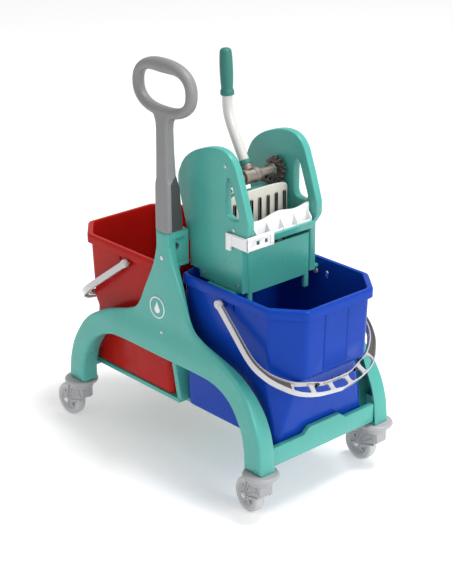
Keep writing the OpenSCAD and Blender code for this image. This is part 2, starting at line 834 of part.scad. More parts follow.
module wringer_lip() {
    color(GREEN)
        upright(-inside, inside)
            polygon([[wringer_front - 2, lip_z - 8], [nose_x - 6, lip_z - 4], [nose_x, lip_z + 12],
                     [nose_x - 3, lip_z + 14], [wringer_front - 2, lip_z + 5]]);
}

grille_x = wringer_front - 9;

// Height of the wavy top of the grille
function grille_top(y) = plate_z - 139 + 5 * cos(y * 4.1) + 0.05 * y;

module wringer_grille() {
    top = [for (y = [inside - 1:-6:-inside + 1]) [y, grille_top(y)]];
    color("whitesmoke")
        difference() {
            lengthwise(grille_x, grille_x + 20)
                polygon(concat([[-inside + 1, plate_bottom + 100], [inside - 1, plate_bottom + 100]], top));
            for (i = [-2:1])
                block([grille_x - 1, i * 42 + 5, plate_bottom + 101], [grille_x + 17, i * 42 + 37, plate_z]);
            block([grille_x + 6, -wringer_w, 0], [grille_x + 40, wringer_w, lip_z + 15]);
        }
}

module wringer_clip() {
    out_y = -wringer_w / 2 - part_gap;
    front_x = nose_x + 1 + part_gap;
    low = plate_z - 191;
    high = plate_z - 162;
    color("whitesmoke")
        difference() {
            union() {
                block([front_x, out_y - 4, low], [front_x + 4, out_y + 68, high]);
                block([shaft_x + 48, out_y - 4, low - 2], [front_x + 4, out_y, high - 2]);
                translate([shaft_x + 48, out_y - 7, low - 11])
                    cube([14, 7, high - low + 10]);
            }
            for (y = [out_y + 28, out_y + 50])
                block([front_x - 1, y - 4, low + 10], [front_x + 5, y + 4, low + 20]);
        }
}

// ---------- press drive ----------

pressure_angle = 25;
addendum = 0.8 * gear_module;
dedendum = 1.05 * gear_module;
backlash = 0.5;

function involute(base, r) =
    let (a = acos(min(1, base / r)))
    tan(a) * 180 / PI - a;

// The outline of a spur gear with a tooth centred on the start angle
function gear_outline(teeth, m, start) =
    let (r = m * teeth / 2,
         base = r * cos(pressure_angle),
         half = 90 / teeth - backlash / r * 90 / PI + involute(base, r),
         root = r - dedendum,
         tip = r + addendum,
         steps = 5)
    [for (k = [0:teeth - 1])
        let (c = start + k * 360 / teeth)
        each concat(
            [root * [cos(c - half - 1), sin(c - half - 1)]],
            [for (i = [0:steps])
                let (q = max(base, root) + (tip - max(base, root)) * i / steps,
                     a = c - half + involute(base, q))
                q * [cos(a), sin(a)]],
            [for (i = [steps:-1:0])
                let (q = max(base, root) + (tip - max(base, root)) * i / steps,
                     a = c + half - involute(base, q))
                q * [cos(a), sin(a)]],
            [root * [cos(c + half + 1), sin(c + half + 1)]])];

gear_y = plate_in - gear_w / 2 - 6;
press_x = shaft_x + 24;

module lever_pinions() {
    color("gray")
        for (s = [-1, 1])
            difference() {
                translate([shaft_x, 0, shaft_z])
                    upright(s * gear_y - gear_w / 2, s * gear_y + gear_w / 2)
                        polygon(gear_outline(gear_teeth, gear_module, -90));
                rod_y(shaft_x, shaft_z, shaft_r + press_gap, -wringer_w, wringer_w);
            }
}

// The rack's teeth, with a gap between teeth under the shaft
module press_racks() {
    pitch = PI * gear_module;
    half = pitch / 4 - backlash / 2;
    lean = tan(pressure_angle);
    tips = [for (k = [-4:1]) (k + 0.5) * pitch];
    low = rack_z - dedendum;
    high = rack_z + addendum;
    color("dimgray")
        for (s = [-1, 1])
            upright(s * gear_y - gear_w / 2 + 1, s * gear_y + gear_w / 2 - 1)
                polygon(concat(
                    [[press_x - part_gap / 4, low - 8], [press_x - part_gap / 4, low]],
                    [for (i = [len(tips) - 1:-1:0])
                        let (c = shaft_x + tips[i])
                        each [[c + half + dedendum * lean, low], [c + half - addendum * lean, high],
                              [c - half + addendum * lean, high], [c - half - dedendum * lean, low]]],
                    [[shaft_x + tips[0] - pitch / 2 - 1, low],
                     [shaft_x + tips[0] - pitch / 2 - 1, low - 8]]));
}

module rack_guide() {
    top = rack_z - dedendum - 8 - part_gap;
    color(GREEN)
        block([shaft_x - 24, -inside, top - 8], [shaft_x - 4, inside, top]);
}

module press_plate() {
    half = inside - 6;
    rib_pitch = (half - 10.6) / 3;
    color("tan")
        union() {
            lengthwise(press_x, press_x + 5)
                polygon(concat([[-half, plate_bottom + 22], [half, plate_bottom + 22]],
                               smooth_curve([[half, rack_z - 8], [half - 12, rack_z + 2], [0, rack_z + 5],
                                             [-half + 12, rack_z + 2], [-half, rack_z - 8]], 3)));
            for (i = [-3:3])
                block([press_x + 4, i * rib_pitch - 3, plate_bottom + 26],
                      [press_x + 9, i * rib_pitch + 3, rack_z - 14]);
            block([press_x - 9, -half, plate_bottom + 60], [press_x + 1, half, plate_bottom + 64]);
        }
}

module lever_shaft() {
    color("gray")
        rod_y(shaft_x, shaft_z, shaft_r, -plate_in - 11, plate_in + 11);
}

// ---------- lever ----------

grip_x = shaft_x - 72;
grip_low = lever_z - grip_len + 12;
elbow = [grip_x + 7, grip_low - 30];
lever_lean = atan2(shaft_x - elbow[0], elbow[1] - shaft_z);
socket_len = 52;

// Turns its children about the shaft so that their +Z follows the lower stretch of the tube
module along_lever() {
    translate([shaft_x, 0, shaft_z])
        rotate([0, -lever_lean, 0])
            children();
}

module lever_hub() {
    color("dimgray")
        difference() {
            union() {
                rod_y(shaft_x, shaft_z, shaft_r + 7, -20, 20);
                along_lever()
                    cylinder(r = tube_r + 4, h = socket_len);
            }
            rod_y(shaft_x, shaft_z, shaft_r + press_gap, -40, 40);
            along_lever()
                translate([0, 0, shaft_r + 4])
                    cylinder(r = tube_r + press_gap, h = socket_len);
        }
}

function bend_points(a, b, c, r) =
    let (u = unit(a - b), v = unit(c - b),
         half = acos(u * v) / 2,
         reach = r / tan(half),
         start = b + u * reach, stop = b + v * reach,
         middle = b + unit(u + v) * r / sin(half),
         from = atan2(start[1] - middle[1], start[0] - middle[0]),
         turn = atan2(stop[1] - middle[1], stop[0] - middle[0]) - from)
    [start, stop, middle, [from, turn]];

// The tube: a straight lower stretch, a bend, and an upright stretch inside the grip
module lever_tube() {
    low = [shaft_x, shaft_z] + unit(elbow - [shaft_x, shaft_z]) * (shaft_r + 4.5);
    top = [grip_x, lever_z] - unit([grip_x, lever_z] - elbow) * 9;
    radius = 70;
    overlap = 1.5;
    bend = bend_points(low, elbow, top, radius);
    start = bend[0];
    stop = bend[1];
    middle = bend[2];
    turn = bend[3][1];
    color("silver")
        union() {
            rod_between(low, start);
            rod_between(stop, top);
            translate([middle[0], 0, middle[1]])
                rotate([90, 0, 0])
                    rotate([0, 0, bend[3][0] + min(0, turn) - overlap])
                        rotate_extrude(angle = abs(turn) + 2 * overlap)
                            translate([radius, 0])
                                circle(r = tube_r - 0.05);
        }
}

module rod_between(a, b) {
    d = b - a;
    translate([a[0], 0, a[1]])
        rotate([0, atan2(d[0], d[1]), 0])
            cylinder(r = tube_r, h = norm(d));
}

module lever_grip() {
    along = [grip_x, lever_z] - elbow;
    foot = [grip_x, lever_z] - unit(along) * grip_len;
    profile = [[tube_r + press_gap, 0], [grip_r, 0], [grip_r + 0.5, 3], [grip_r, 9], [grip_r - 2, 12],
               [grip_r - 1.6, 30], [grip_r - 0.2, 62], [grip_r - 0.8, grip_len - 14],
               [grip_r - 2, grip_len - 4], [grip_r - 5, grip_len], [0, grip_len],
               [0, grip_len - 7.5], [tube_r + press_gap, grip_len - 7.5]];
    color("mediumseagreen")
        translate([foot[0], 0, foot[1]])
            rotate([0, atan2(along[0], along[1]), 0])
                rotate_extrude()
                    polygon(profile);
}

base_tray();
end_bar("front");  // front_end_bar
end_bar("rear");  // rear_end_bar
bucket_divider();
side_panel("near");  // near_side_panel
side_panel("far");  // far_side_panel
side_panel_screws();
push_handle();
handle_screws();
blue_bucket();
red_bucket();
blue_bail();
red_bail();
wringer_plate("near");  // wringer_near_plate
wringer_plate("far");  // wringer_far_plate
wringer_front_wall();
wringer_back_wall();
wringer_seat_frame();
wringer_drain_grid();
wringer_lip();
wringer_grille();
wringer_clip();
wringer_screws();
rack_guide();
press_plate();
press_racks();
lever_shaft();
lever_pinions();
lever_hub();
lever_tube();
lever_grip();
for (i = [0:3]) {
    castor_stem(i);
    castor_disc(i);
    castor_fork(i);
    castor_axle(i);
    castor_wheel(i);
    castor_tyre(i);
}
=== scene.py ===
import bmesh
import bpy
import json
import math
from mathutils import Matrix, Vector


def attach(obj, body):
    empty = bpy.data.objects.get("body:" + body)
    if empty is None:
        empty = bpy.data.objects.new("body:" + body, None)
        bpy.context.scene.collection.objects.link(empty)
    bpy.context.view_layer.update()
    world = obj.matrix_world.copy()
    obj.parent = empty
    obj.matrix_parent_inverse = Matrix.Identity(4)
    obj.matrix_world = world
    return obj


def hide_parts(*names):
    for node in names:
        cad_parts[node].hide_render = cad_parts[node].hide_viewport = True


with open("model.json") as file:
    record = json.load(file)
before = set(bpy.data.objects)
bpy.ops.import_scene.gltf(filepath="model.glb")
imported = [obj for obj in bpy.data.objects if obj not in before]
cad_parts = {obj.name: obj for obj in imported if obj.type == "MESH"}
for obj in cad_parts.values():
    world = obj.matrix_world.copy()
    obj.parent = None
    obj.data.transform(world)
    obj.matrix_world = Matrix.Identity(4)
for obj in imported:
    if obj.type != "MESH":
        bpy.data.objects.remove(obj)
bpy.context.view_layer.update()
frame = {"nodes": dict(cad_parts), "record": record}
scene = bpy.context.scene
mm = 0.001
bodyOf = {node: body for body, nodes in frame["record"]["behaviour"]["bodies"].items() for node in nodes}
slotOf = {part["node"]: part["material_slot"] for part in frame["record"]["subparts"]}
print("frame loaded:", len(frame["nodes"]), "nodes")

# ---- node tree helpers ----


def feed(tree, value, socket):
    if hasattr(value, "is_output"):
        tree.links.new(value, socket)
    else:
        socket.default_value = value


def addNode(tree, kind, **inputs):
    node = tree.nodes.new(kind)
    for name, value in inputs.items():
        node.inputs[name.replace("_", " ")].default_value = value
    return node


# A socket's kind follows from its first value: a word names the kind of a socket that has none
def socketKind(value):
    if isinstance(value, str):
        return "NodeSocket" + value
    kinds = {int: "Int", float: "Float", 3: "Vector", 4: "Color"}
    return "NodeSocket" + kinds[len(value) if isinstance(value, tuple) else type(value)]


def newGroup(name, kind, inputs, outputs):
    tree = bpy.data.node_groups.new(name, kind)
    for label, value in inputs.items():
        socket = tree.interface.new_socket(name=label, in_out="INPUT", socket_type=socketKind(value))
        if not isinstance(value, str):
            socket.default_value = value
    for label, value in outputs.items():
        tree.interface.new_socket(name=label, in_out="OUTPUT", socket_type=socketKind(value))
    return tree, tree.nodes.new("NodeGroupInput"), tree.nodes.new("NodeGroupOutput")


def wire(tree, *links):
    for source, output, target, entry in links:
        tree.links.new(source.outputs[output], target.inputs[entry])


def mathNode(tree, operation, **values):
    node = tree.nodes.new("ShaderNodeMath")
    node.operation = operation
    for name, value in values.items():
        node.inputs["abc".index(name)].default_value = value
    return node


def mixColour(tree, factor, a, b):
    mix = tree.nodes.new("ShaderNodeMix")
    mix.data_type = "RGBA"
    for entry, value in ((0, factor), (6, a), (7, b)):
        feed(tree, value, mix.inputs[entry])
    return mix.outputs[2]


def mapRange(tree, value, low, high, toLow, toHigh):
    node = addNode(tree, "ShaderNodeMapRange", From_Min=low, From_Max=high)
    for entry, source in (("Value", value), ("To Min", toLow), ("To Max", toHigh)):
        feed(tree, source, node.inputs[entry])
    return node.outputs["Result"]


def scaledNoise(tree, scale, detail=3.0, stretch=(1, 1, 1)):
    place = tree.nodes.new("ShaderNodeTexCoord")
    mapping = addNode(tree, "ShaderNodeMapping", Scale=stretch)
    noise = addNode(tree, "ShaderNodeTexNoise", Detail=detail)
    wire(tree, (place, "Object", mapping, "Vector"), (mapping, "Vector", noise, "Vector"))
    feed(tree, scale, noise.inputs["Scale"])
    return noise.outputs["Fac"]


def endShader(tree, out, colour, rough, height, bump):
    for source, socket in ((height, bump.inputs["Height"]), (colour, out.inputs["Color"]),
                           (rough, out.inputs["Roughness"]), (bump.outputs["Normal"], out.inputs["Normal"])):
        feed(tree, source, socket)
    return tree


# ---- shared shader effects ----


def buildMouldedGroup():
    tree, inside, out = newGroup("mouldedPlastic", "ShaderNodeTree", {
        "Base": (0.5, 0.5, 0.5, 1), "Shade": (0.4, 0.4, 0.4, 1), "Scuff": (0.8, 0.8, 0.8, 1),
        "Scuff Amount": 0.3, "Grain Scale": 900.0, "Grain Depth": 0.08, "Rough Low": 0.28,
        "Rough High": 0.4}, {"Color": "Color", "Roughness": "Float", "Normal": "Vector"})
    mottle = scaledNoise(tree, 9.0, 4.0)
    tone = mixColour(tree, mapRange(tree, mottle, 0.35, 0.65, 0.0, 1.0), inside.outputs["Base"],
                     inside.outputs["Shade"])
    streaks = scaledNoise(tree, 60.0, 5.0, (1.0, 1.0, 6.0))
    marks = mapRange(tree, streaks, 0.66, 0.76, 0.0, 1.0)
    amount = mathNode(tree, "MULTIPLY")
    feed(tree, marks, amount.inputs[0])
    wire(tree, (inside, "Scuff Amount", amount, 1))
    colour = mixColour(tree, amount.outputs[0], tone, inside.outputs["Scuff"])
    rough = mapRange(tree, scaledNoise(tree, 34.0, 6.0), 0.3, 0.7, inside.outputs["Rough Low"],
                     inside.outputs["Rough High"])
    grain = scaledNoise(tree, inside.outputs["Grain Scale"], 2.0)
    bump = addNode(tree, "ShaderNodeBump", Distance=0.0004)
    wire(tree, (inside, "Grain Depth", bump, "Strength"))
    return endShader(tree, out, colour, rough, grain, bump)


def buildMetalGroup():
    tree, inside, out = newGroup("workedMetal", "ShaderNodeTree", {
        "Base": (0.6, 0.6, 0.6, 1), "Tarnish": (0.3, 0.25, 0.2, 1), "Tarnish Amount": 0.5,
        "Brush Scale": 260.0, "Rough Low": 0.25, "Rough High": 0.5},
        {"Color": "Color", "Roughness": "Float", "Normal": "Vector"})
    patches = mapRange(tree, scaledNoise(tree, 38.0, 6.0), 0.4, 0.7, 0.0, inside.outputs["Tarnish Amount"])
    colour = mixColour(tree, patches, inside.outputs["Base"], inside.outputs["Tarnish"])
    brush = scaledNoise(tree, inside.outputs["Brush Scale"], 3.0, (1.0, 0.15, 1.0))
    rough = mapRange(tree, brush, 0.3, 0.7, inside.outputs["Rough Low"], inside.outputs["Rough High"])
    bump = addNode(tree, "ShaderNodeBump", Distance=0.0003, Strength=0.12)
    return endShader(tree, out, colour, rough, brush, bump)


mouldedGroup = buildMouldedGroup()
metalGroup = buildMetalGroup()


def tint(rgb, factor=1.0):
    return (min(1, rgb[0] * factor), min(1, rgb[1] * factor), min(1, rgb[2] * factor), 1)


def makeMaterial(name, group, values, metallic=0.0, coat=0.0, specular=0.5):
    material = bpy.data.materials.new(name)
    material.use_nodes = True
    tree = material.node_tree
    shader = tree.nodes["Principled BSDF"]
    effect = tree.nodes.new("ShaderNodeGroup")
    effect.node_tree = group
    for label, value in values.items():
        effect.inputs[label].default_value = value
    wire(tree, (effect, "Color", shader, "Base Color"), (effect, "Roughness", shader, "Roughness"),
         (effect, "Normal", shader, "Normal"))
    shader.inputs["Metallic"].default_value = metallic
    shader.inputs["Coat Weight"].default_value = coat
    shader.inputs["Specular IOR Level"].default_value = specular
    return material


def plastic(name, rgb, low=0.3, high=0.42, depth=0.08, grain=900.0, scuff=0.25, coat=0.0, specular=0.5):
    return makeMaterial(name, mouldedGroup, {
        "Base": tint(rgb), "Shade": tint(rgb, 0.93), "Scuff": tint([0.5 * c + 0.3 for c in rgb]),
        "Scuff Amount": scuff, "Grain Scale": grain, "Grain Depth": depth,
        "Rough Low": low, "Rough High": high},
        coat=coat, specular=specular)


def metal(name, rgb, tarnish, amount=0.5, low=0.25, high=0.5, metallic=1.0):
    return makeMaterial(name, metalGroup, {
        "Base": tint(rgb), "Tarnish": tint(tarnish), "Tarnish Amount": amount,
        "Rough Low": low, "Rough High": high},
        metallic=metallic)


finishes = {
    "green_plastic": plastic("seaGreenPlastic", (0.068, 0.368, 0.318), 0.26, 0.38, 0.06, scuff=0.12,
                             specular=0.45),
    "blue_plastic": plastic("blueBucketPlastic", (0.004, 0.046, 0.36), 0.20, 0.30, 0.04, scuff=0.02,
                            specular=0.12),
    "red_plastic": plastic("redBucketPlastic", (0.40, 0.009, 0.006), 0.20, 0.30, 0.04, scuff=0.02,
                           specular=0.1),
    "grey_plastic": plastic("handleGrey", (0.215, 0.215, 0.22), 0.40, 0.52, 0.16, 1300.0, 0.12),
    "castor_grey": plastic("castorGrey", (0.37, 0.37, 0.385), 0.34, 0.48, 0.12, 1300.0, 0.15),
    "wheel_grey": plastic("wheelGrey", (0.44, 0.445, 0.455), 0.3, 0.42, 0.1, 1200.0, 0.15),
    "tyre": plastic("treadRubber", (0.50, 0.51, 0.515), 0.5, 0.68, 0.3, 700.0, 0.2),
    "bail_grey": plastic("bailGrey", (0.50, 0.49, 0.50), 0.16, 0.26, 0.04, 1100.0, 0.1, coat=0.6,
                         specular=0.8),
    "white_plastic": plastic("whitePlastic", (0.80, 0.80, 0.81), 0.28, 0.4, 0.05, 1000.0, 0.05),
    "press_beige": plastic("pressBeige", (0.60, 0.58, 0.52), 0.36, 0.5, 0.1, 900.0, 0.1),
    "grip_green": plastic("gripGreen", (0.018, 0.160, 0.130), 0.42, 0.58, 0.2, 1500.0, 0.1),
    "tube_metal": plastic("tubePaint", (0.60, 0.585, 0.57), 0.24, 0.36, 0.04, 800.0, 0.1, coat=0.4),
    "steel": metal("platedSteel", (0.68, 0.68, 0.70), (0.4, 0.37, 0.33), 0.35, 0.2, 0.4),
    "hub_metal": metal("castHub", (0.30, 0.26, 0.23), (0.12, 0.09, 0.07), 0.6, 0.35, 0.6, 0.8),
}
# painted shadow: a near-black grey for the thin inlay in the handle's side recess, standing in for the shadow
# that falls there
paintedShadowGrey = plastic("paintedShadowGrey", (0.050, 0.050, 0.052), 0.45, 0.6, 0.16, 1300.0, 0.05)
# painted shade: a dark warm grey for the bail's channel webs, standing in for the dark reflected in the channel
bailChannelPaintedShade = plastic("bailChannelPaintedShade", (0.085, 0.072, 0.060), 0.3, 0.45, 0.08, 1100.0, 0.05)
gearIron = metal("gearIron", (0.105, 0.085, 0.080), (0.05, 0.04, 0.035), 0.6, 0.4, 0.6, 0.7)
print("materials:", len(finishes) + 3)

# ---- shape helpers (outlines are in millimetres) ----


def smoothCurve(points, steps):
    result = []
    last = len(points) - 1
    for i in range(last):
        a, b, c, d = points[max(i - 1, 0)], points[i], points[i + 1], points[min(i + 2, last)]
        for s in range(steps):
            t = s / steps
            result.append(tuple(
                0.5 * (2 * b[k] + (c[k] - a[k]) * t + (2 * a[k] - 5 * b[k] + 4 * c[k] - d[k]) * t * t
                       + (3 * b[k] - a[k] - 3 * c[k] + d[k]) * t ** 3) for k in range(len(b))))
    return result + [tuple(points[last])]


def evenly(points, count):
    lengths = [0.0]
    for a, b in zip(points, points[1:]):
        lengths.append(lengths[-1] + math.dist(a, b))
    result = []
    j = 0
    for i in range(count):
        at = lengths[-1] * i / (count - 1)
        while j < len(points) - 2 and lengths[j + 1] < at:
            j += 1
        span = lengths[j + 1] - lengths[j] or 1
        f = min(1, max(0, (at - lengths[j]) / span))
        result.append(tuple(points[j][k] * (1 - f) + points[j + 1][k] * f for k in range(len(points[j]))))
    return result


def between(table, at):
    for (a, va), (b, vb) in zip(table, table[1:]):
        if at <= b:
            f = max(0, (at - a) / (b - a))
            f = f * f * (3 - 2 * f) if va != vb else f
            return va + (vb - va) * f
    return table[-1][1]


def inset(points, distance):
    n = len(points)
    result = []
    for i in range(n):
        p, before, after = Vector(points[i]), Vector(points[i - 1]), Vector(points[(i + 1) % n])
        a, b = (p - before).normalized(), (after - p).normalized()
        left = Vector((-b.y, b.x))
        m = (Vector((-a.y, a.x)) + left).normalized()
        result.append(tuple(p + m * distance / max(0.4, m.dot(left))))
    return result


def anticlockwise(points):
    area = sum(a[0] * b[1] - b[0] * a[1] for a, b in zip(points, points[1:] + points[:1]))
    return points if area > 0 else points[::-1]


def addLoop(bm, outline, y):
    return [bm.verts.new((x, y, z)) for x, z in outline]


def stitch(bm, a, b):
    n = len(a)
    for i in range(n):
        bm.faces.new((a[i], a[(i + 1) % n], b[(i + 1) % n], b[i]))


def capLoops(bm, loops):
    edges = []
    for loop in loops:
        for i, v in enumerate(loop):
            w = loop[(i + 1) % len(loop)]
            edges.append(bm.edges.get((v, w)) or bm.edges.new((v, w)))
    bmesh.ops.triangle_fill(bm, edges=edges, use_beauty=True, use_dissolve=False)


def capStack(bm, loops):
    for a, b in zip(loops, loops[1:]):
        stitch(bm, a, b)
    capLoops(bm, [loops[0]])
    capLoops(bm, [loops[-1]])


def roundOver(radius, segments):
    return [(radius * (1 - math.sin(math.pi / 2 * k / segments)),
             radius * (1 - math.cos(math.pi / 2 * k / segments)))
            for k in range(segments + 1)]


def slab(bm, outline, y0, y1, radius=1.5, holes=(), segments=3):
    outline = anticlockwise(outline)
    corner = roundOver(radius, segments)
    section = [(d, y0 + e) for d, e in corner] + [(d, y1 - e) for d, e in reversed(corner)]
    first, last = [], []
    for sign, shape in [(1, outline)] + [(-1, anticlockwise(list(h))) for h in holes]:
        loops = [addLoop(bm, inset(shape, sign * d) if d else shape, y) for d, y in section]
        for a, b in zip(loops, loops[1:]):
            stitch(bm, a, b)
        first.append(loops[0])
        last.append(loops[-1])
    capLoops(bm, first)
    capLoops(bm, last)


def addBox(bm, low, high, turn=None):
    made = bmesh.ops.create_cube(bm, size=1.0)["verts"]
    size = Vector(high) - Vector(low)
    middle = (Vector(high) + Vector(low)) / 2
    for v in made:
        v.co = Vector((v.co.x * size.x, v.co.y * size.y, v.co.z * size.z)) + middle
    if turn:
        bmesh.ops.transform(bm, matrix=turn, verts=made)
    return made


def addRod(bm, a, b, radius, sides=32, radiusEnd=None):
    a, b = Vector(a), Vector(b)
    made = bmesh.ops.create_cone(bm, cap_ends=True, segments=sides, radius1=radius, depth=(b - a).length,
                                 radius2=radius if radiusEnd is None else radiusEnd)["verts"]
    turn = Vector((0, 0, 1)).rotation_difference((b - a).normalized()).to_matrix().to_4x4()
    bmesh.ops.transform(bm, matrix=Matrix.Translation((a + b) / 2) @ turn, verts=made)
    return made


def spun(bm, profile, sides, place):
    rings = []
    for i in range(sides):
        angle = 2 * math.pi * i / sides
        rings.append([bm.verts.new(place @ Vector((r * math.cos(angle), r * math.sin(angle), h))) for r,
                      h in profile])
    for i in range(sides):
        a, b = rings[i], rings[(i + 1) % sides]
        for j in range(len(profile) - 1):
            bm.faces.new((a[j], b[j], b[j + 1], a[j + 1]))
    bmesh.ops.remove_doubles(bm, verts=[v for ring in rings for v in ring], dist=1e-4)


def loftRings(bm, rings, capStart=True, capEnd=True):
    loops = [[bm.verts.new(p) for p in ring] for ring in rings]
    for a, b in zip(loops, loops[1:]):
        stitch(bm, a, b)
    if capStart:
        bm.faces.new(loops[0])
    if capEnd:
        bm.faces.new(loops[-1][::-1])
    return loops


def setSmooth(mesh, degrees):
    for polygon in mesh.polygons:
        polygon.use_smooth = True
    mesh.set_sharp_from_angle(angle=math.radians(degrees))


def finishPiece(name, bm, body, slotName, replaced=(), bevel=0.0, bevelSteps=2, sharp=35, scale=mm,
                material=None):
    if scale != 1:
        bmesh.ops.scale(bm, vec=(scale,) * 3, verts=bm.verts)
    bmesh.ops.recalc_face_normals(bm, faces=bm.faces)
    mesh = bpy.data.meshes.new(name)
    bm.to_mesh(mesh)
    bm.free()
    piece = bpy.data.objects.new(name, mesh)
    scene.collection.objects.link(piece)
    mesh.materials.append(material or finishes[slotName])
    if bevel:
        for polygon in mesh.polygons:
            polygon.use_smooth = True
        rounding = piece.modifiers.new("edges", "BEVEL")
        rounding.width = bevel * mm
        rounding.segments = bevelSteps
        rounding.limit_method = "ANGLE"
        rounding.angle_limit = math.radians(sharp)
        rounding.harden_normals = True
        rounding.use_clamp_overlap = True
    else:
        setSmooth(mesh, sharp)
    if replaced:
        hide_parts(*replaced)
    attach(piece, body)
    return piece


def cutWith(piece, bm):
    bmesh.ops.scale(bm, vec=(mm,) * 3, verts=bm.verts)
    bmesh.ops.recalc_face_normals(bm, faces=bm.faces)
    mesh = bpy.data.meshes.new("cutter")
    bm.to_mesh(mesh)
    bm.free()
    cutter = bpy.data.objects.new("cutter", mesh)
    scene.collection.objects.link(cutter)
    boolean = piece.modifiers.new("cut", "BOOLEAN")
    boolean.operation = "DIFFERENCE"
    boolean.solver = "EXACT"
    boolean.object = cutter
    piece.modifiers.move(len(piece.modifiers) - 1, 0)
    bake(piece)
    bpy.data.objects.remove(cutter)


def carve(piece, addShape, *sizes):
    cutter = bmesh.new()
    addShape(cutter, *sizes)
    cutWith(piece, cutter)


def bake(piece):
    dependencies = bpy.context.evaluated_depsgraph_get()
    mesh = bpy.data.meshes.new_from_object(piece.evaluated_get(dependencies))
    mesh.name = piece.name
    piece.modifiers.clear()
    piece.data = mesh


# A CAD node's shape with its triangles merged and its edges rounded
def softened(node, bevel=1.0, steps=2, sharp=35, flat=0.6):
    bm = bmesh.new()
    bm.from_mesh(frame["nodes"][node].data)
    bmesh.ops.remove_doubles(bm, verts=bm.verts, dist=2e-6)
    bmesh.ops.dissolve_limit(bm, angle_limit=math.radians(flat), verts=bm.verts, edges=bm.edges)
    return finishPiece(node + "_look", bm, bodyOf[node], slotOf[node], (node,), bevel, steps, sharp, 1)


# ---- geometry node trees for what repeats ----


def growMesh(tree, values, points=None):
    base = bpy.data.meshes.new("points")
    base.from_pydata(points or [(0, 0, 0)], [], [])
    holder = bpy.data.objects.new("grown", base)
    scene.collection.objects.link(holder)
    grower = holder.modifiers.new("grow", "NODES")
    grower.node_group = tree
    for item in tree.interface.items_tree:
        if item.item_type == "SOCKET" and item.in_out == "INPUT" and item.name in values:
            grower[item.identifier] = values[item.name]
    dependencies = bpy.context.evaluated_depsgraph_get()
    mesh = bpy.data.meshes.new_from_object(holder.evaluated_get(dependencies))
    bpy.data.objects.remove(holder)
    return mesh


def addGrown(bm, mesh, place=None):
    before = len(bm.verts)
    bm.from_mesh(mesh)
    bm.verts.ensure_lookup_table()
    fresh = bm.verts[before:]
    bmesh.ops.scale(bm, vec=(1 / mm,) * 3, verts=fresh)
    if place:
        bmesh.ops.transform(bm, matrix=place, verts=fresh)
    bpy.data.meshes.remove(mesh)


def endTree(tree, geometry, inside, out):
    realize = tree.nodes.new("GeometryNodeRealizeInstances")
    paint = tree.nodes.new("GeometryNodeSetMaterial")
    feed(tree, geometry, realize.inputs["Geometry"])
    wire(tree, (realize, "Geometry", paint, "Geometry"), (inside, "Finish", paint, "Material"),
         (paint, "Geometry", out, "Geometry"))


def buildBarRow():
    tree, inside, out = newGroup("barRow", "GeometryNodeTree", {
        "Count": 5, "Pitch": (0, 0.027, 0), "Bar Size": (0.02, 0.003, 0.004), "Tilt": 0.0,
        "Finish": "Material"}, {"Geometry": "Geometry"})
    row = tree.nodes.new("GeometryNodeMeshLine")
    bar = tree.nodes.new("GeometryNodeMeshCube")
    half = tree.nodes.new("ShaderNodeVectorMath")
    half.operation = "SCALE"
    centre = mathNode(tree, "MULTIPLY_ADD", b=-0.5, c=0.5)
    wire(tree, (inside, "Count", centre, 0), (inside, "Pitch", half, 0), (centre, 0, half, "Scale"),
         (inside, "Count", row, "Count"), (half, 0, row, "Start Location"),
         (inside, "Pitch", row, "Offset"), (inside, "Bar Size", bar, "Size"))
    joined = tree.nodes.new("GeometryNodeJoinGeometry")
    for sign in (1.0, -1.0):
        turned = mathNode(tree, "MULTIPLY", b=sign)
        spin = tree.nodes.new("ShaderNodeCombineXYZ")
        placed = tree.nodes.new("GeometryNodeInstanceOnPoints")
        wire(tree, (inside, "Tilt", turned, 0), (turned, 0, spin, "Z"), (row, "Mesh", placed, "Points"),
             (bar, "Mesh", placed, "Instance"), (spin, 0, placed, "Rotation"),
             (placed, "Instances", joined, "Geometry"))
    endTree(tree, joined.outputs["Geometry"], inside, out)
    return tree


def buildFan():
    tree, inside, out = newGroup("ribFan", "GeometryNodeTree", {
        "Count": 5, "First Angle": 0.3, "Last Angle": 1.3, "Hub Radius": 0.009,
        "Rib Size": (0.045, 0.003, 0.003), "Finish": "Material"}, {"Geometry": "Geometry"})
    row = addNode(tree, "GeometryNodeMeshLine", Offset=(0, 0, 0))
    rib = tree.nodes.new("GeometryNodeMeshCube")
    split = tree.nodes.new("ShaderNodeSeparateXYZ")
    halfLength = mathNode(tree, "MULTIPLY_ADD", b=0.5)
    shift = tree.nodes.new("ShaderNodeCombineXYZ")
    moved = tree.nodes.new("GeometryNodeTransform")
    index = tree.nodes.new("GeometryNodeInputIndex")
    last = mathNode(tree, "SUBTRACT", b=1.0)
    sweep = tree.nodes.new("ShaderNodeMapRange")
    spin = tree.nodes.new("ShaderNodeCombineXYZ")
    placed = tree.nodes.new("GeometryNodeInstanceOnPoints")
    wire(tree, (inside, "Count", row, "Count"), (inside, "Rib Size", rib, "Size"),
         (inside, "Rib Size", split, 0), (split, "X", halfLength, 0),
         (inside, "Hub Radius", halfLength, 2), (halfLength, 0, shift, "X"),
         (rib, "Mesh", moved, "Geometry"), (shift, 0, moved, "Translation"), (inside, "Count", last, 0),
         (index, 0, sweep, "Value"), (last, 0, sweep, "From Max"),
         (inside, "First Angle", sweep, "To Min"), (inside, "Last Angle", sweep, "To Max"),
         (sweep, "Result", spin, "Z"), (row, "Mesh", placed, "Points"),
         (moved, "Geometry", placed, "Instance"), (spin, 0, placed, "Rotation"))
    endTree(tree, placed.outputs["Instances"], inside, out)
    return tree


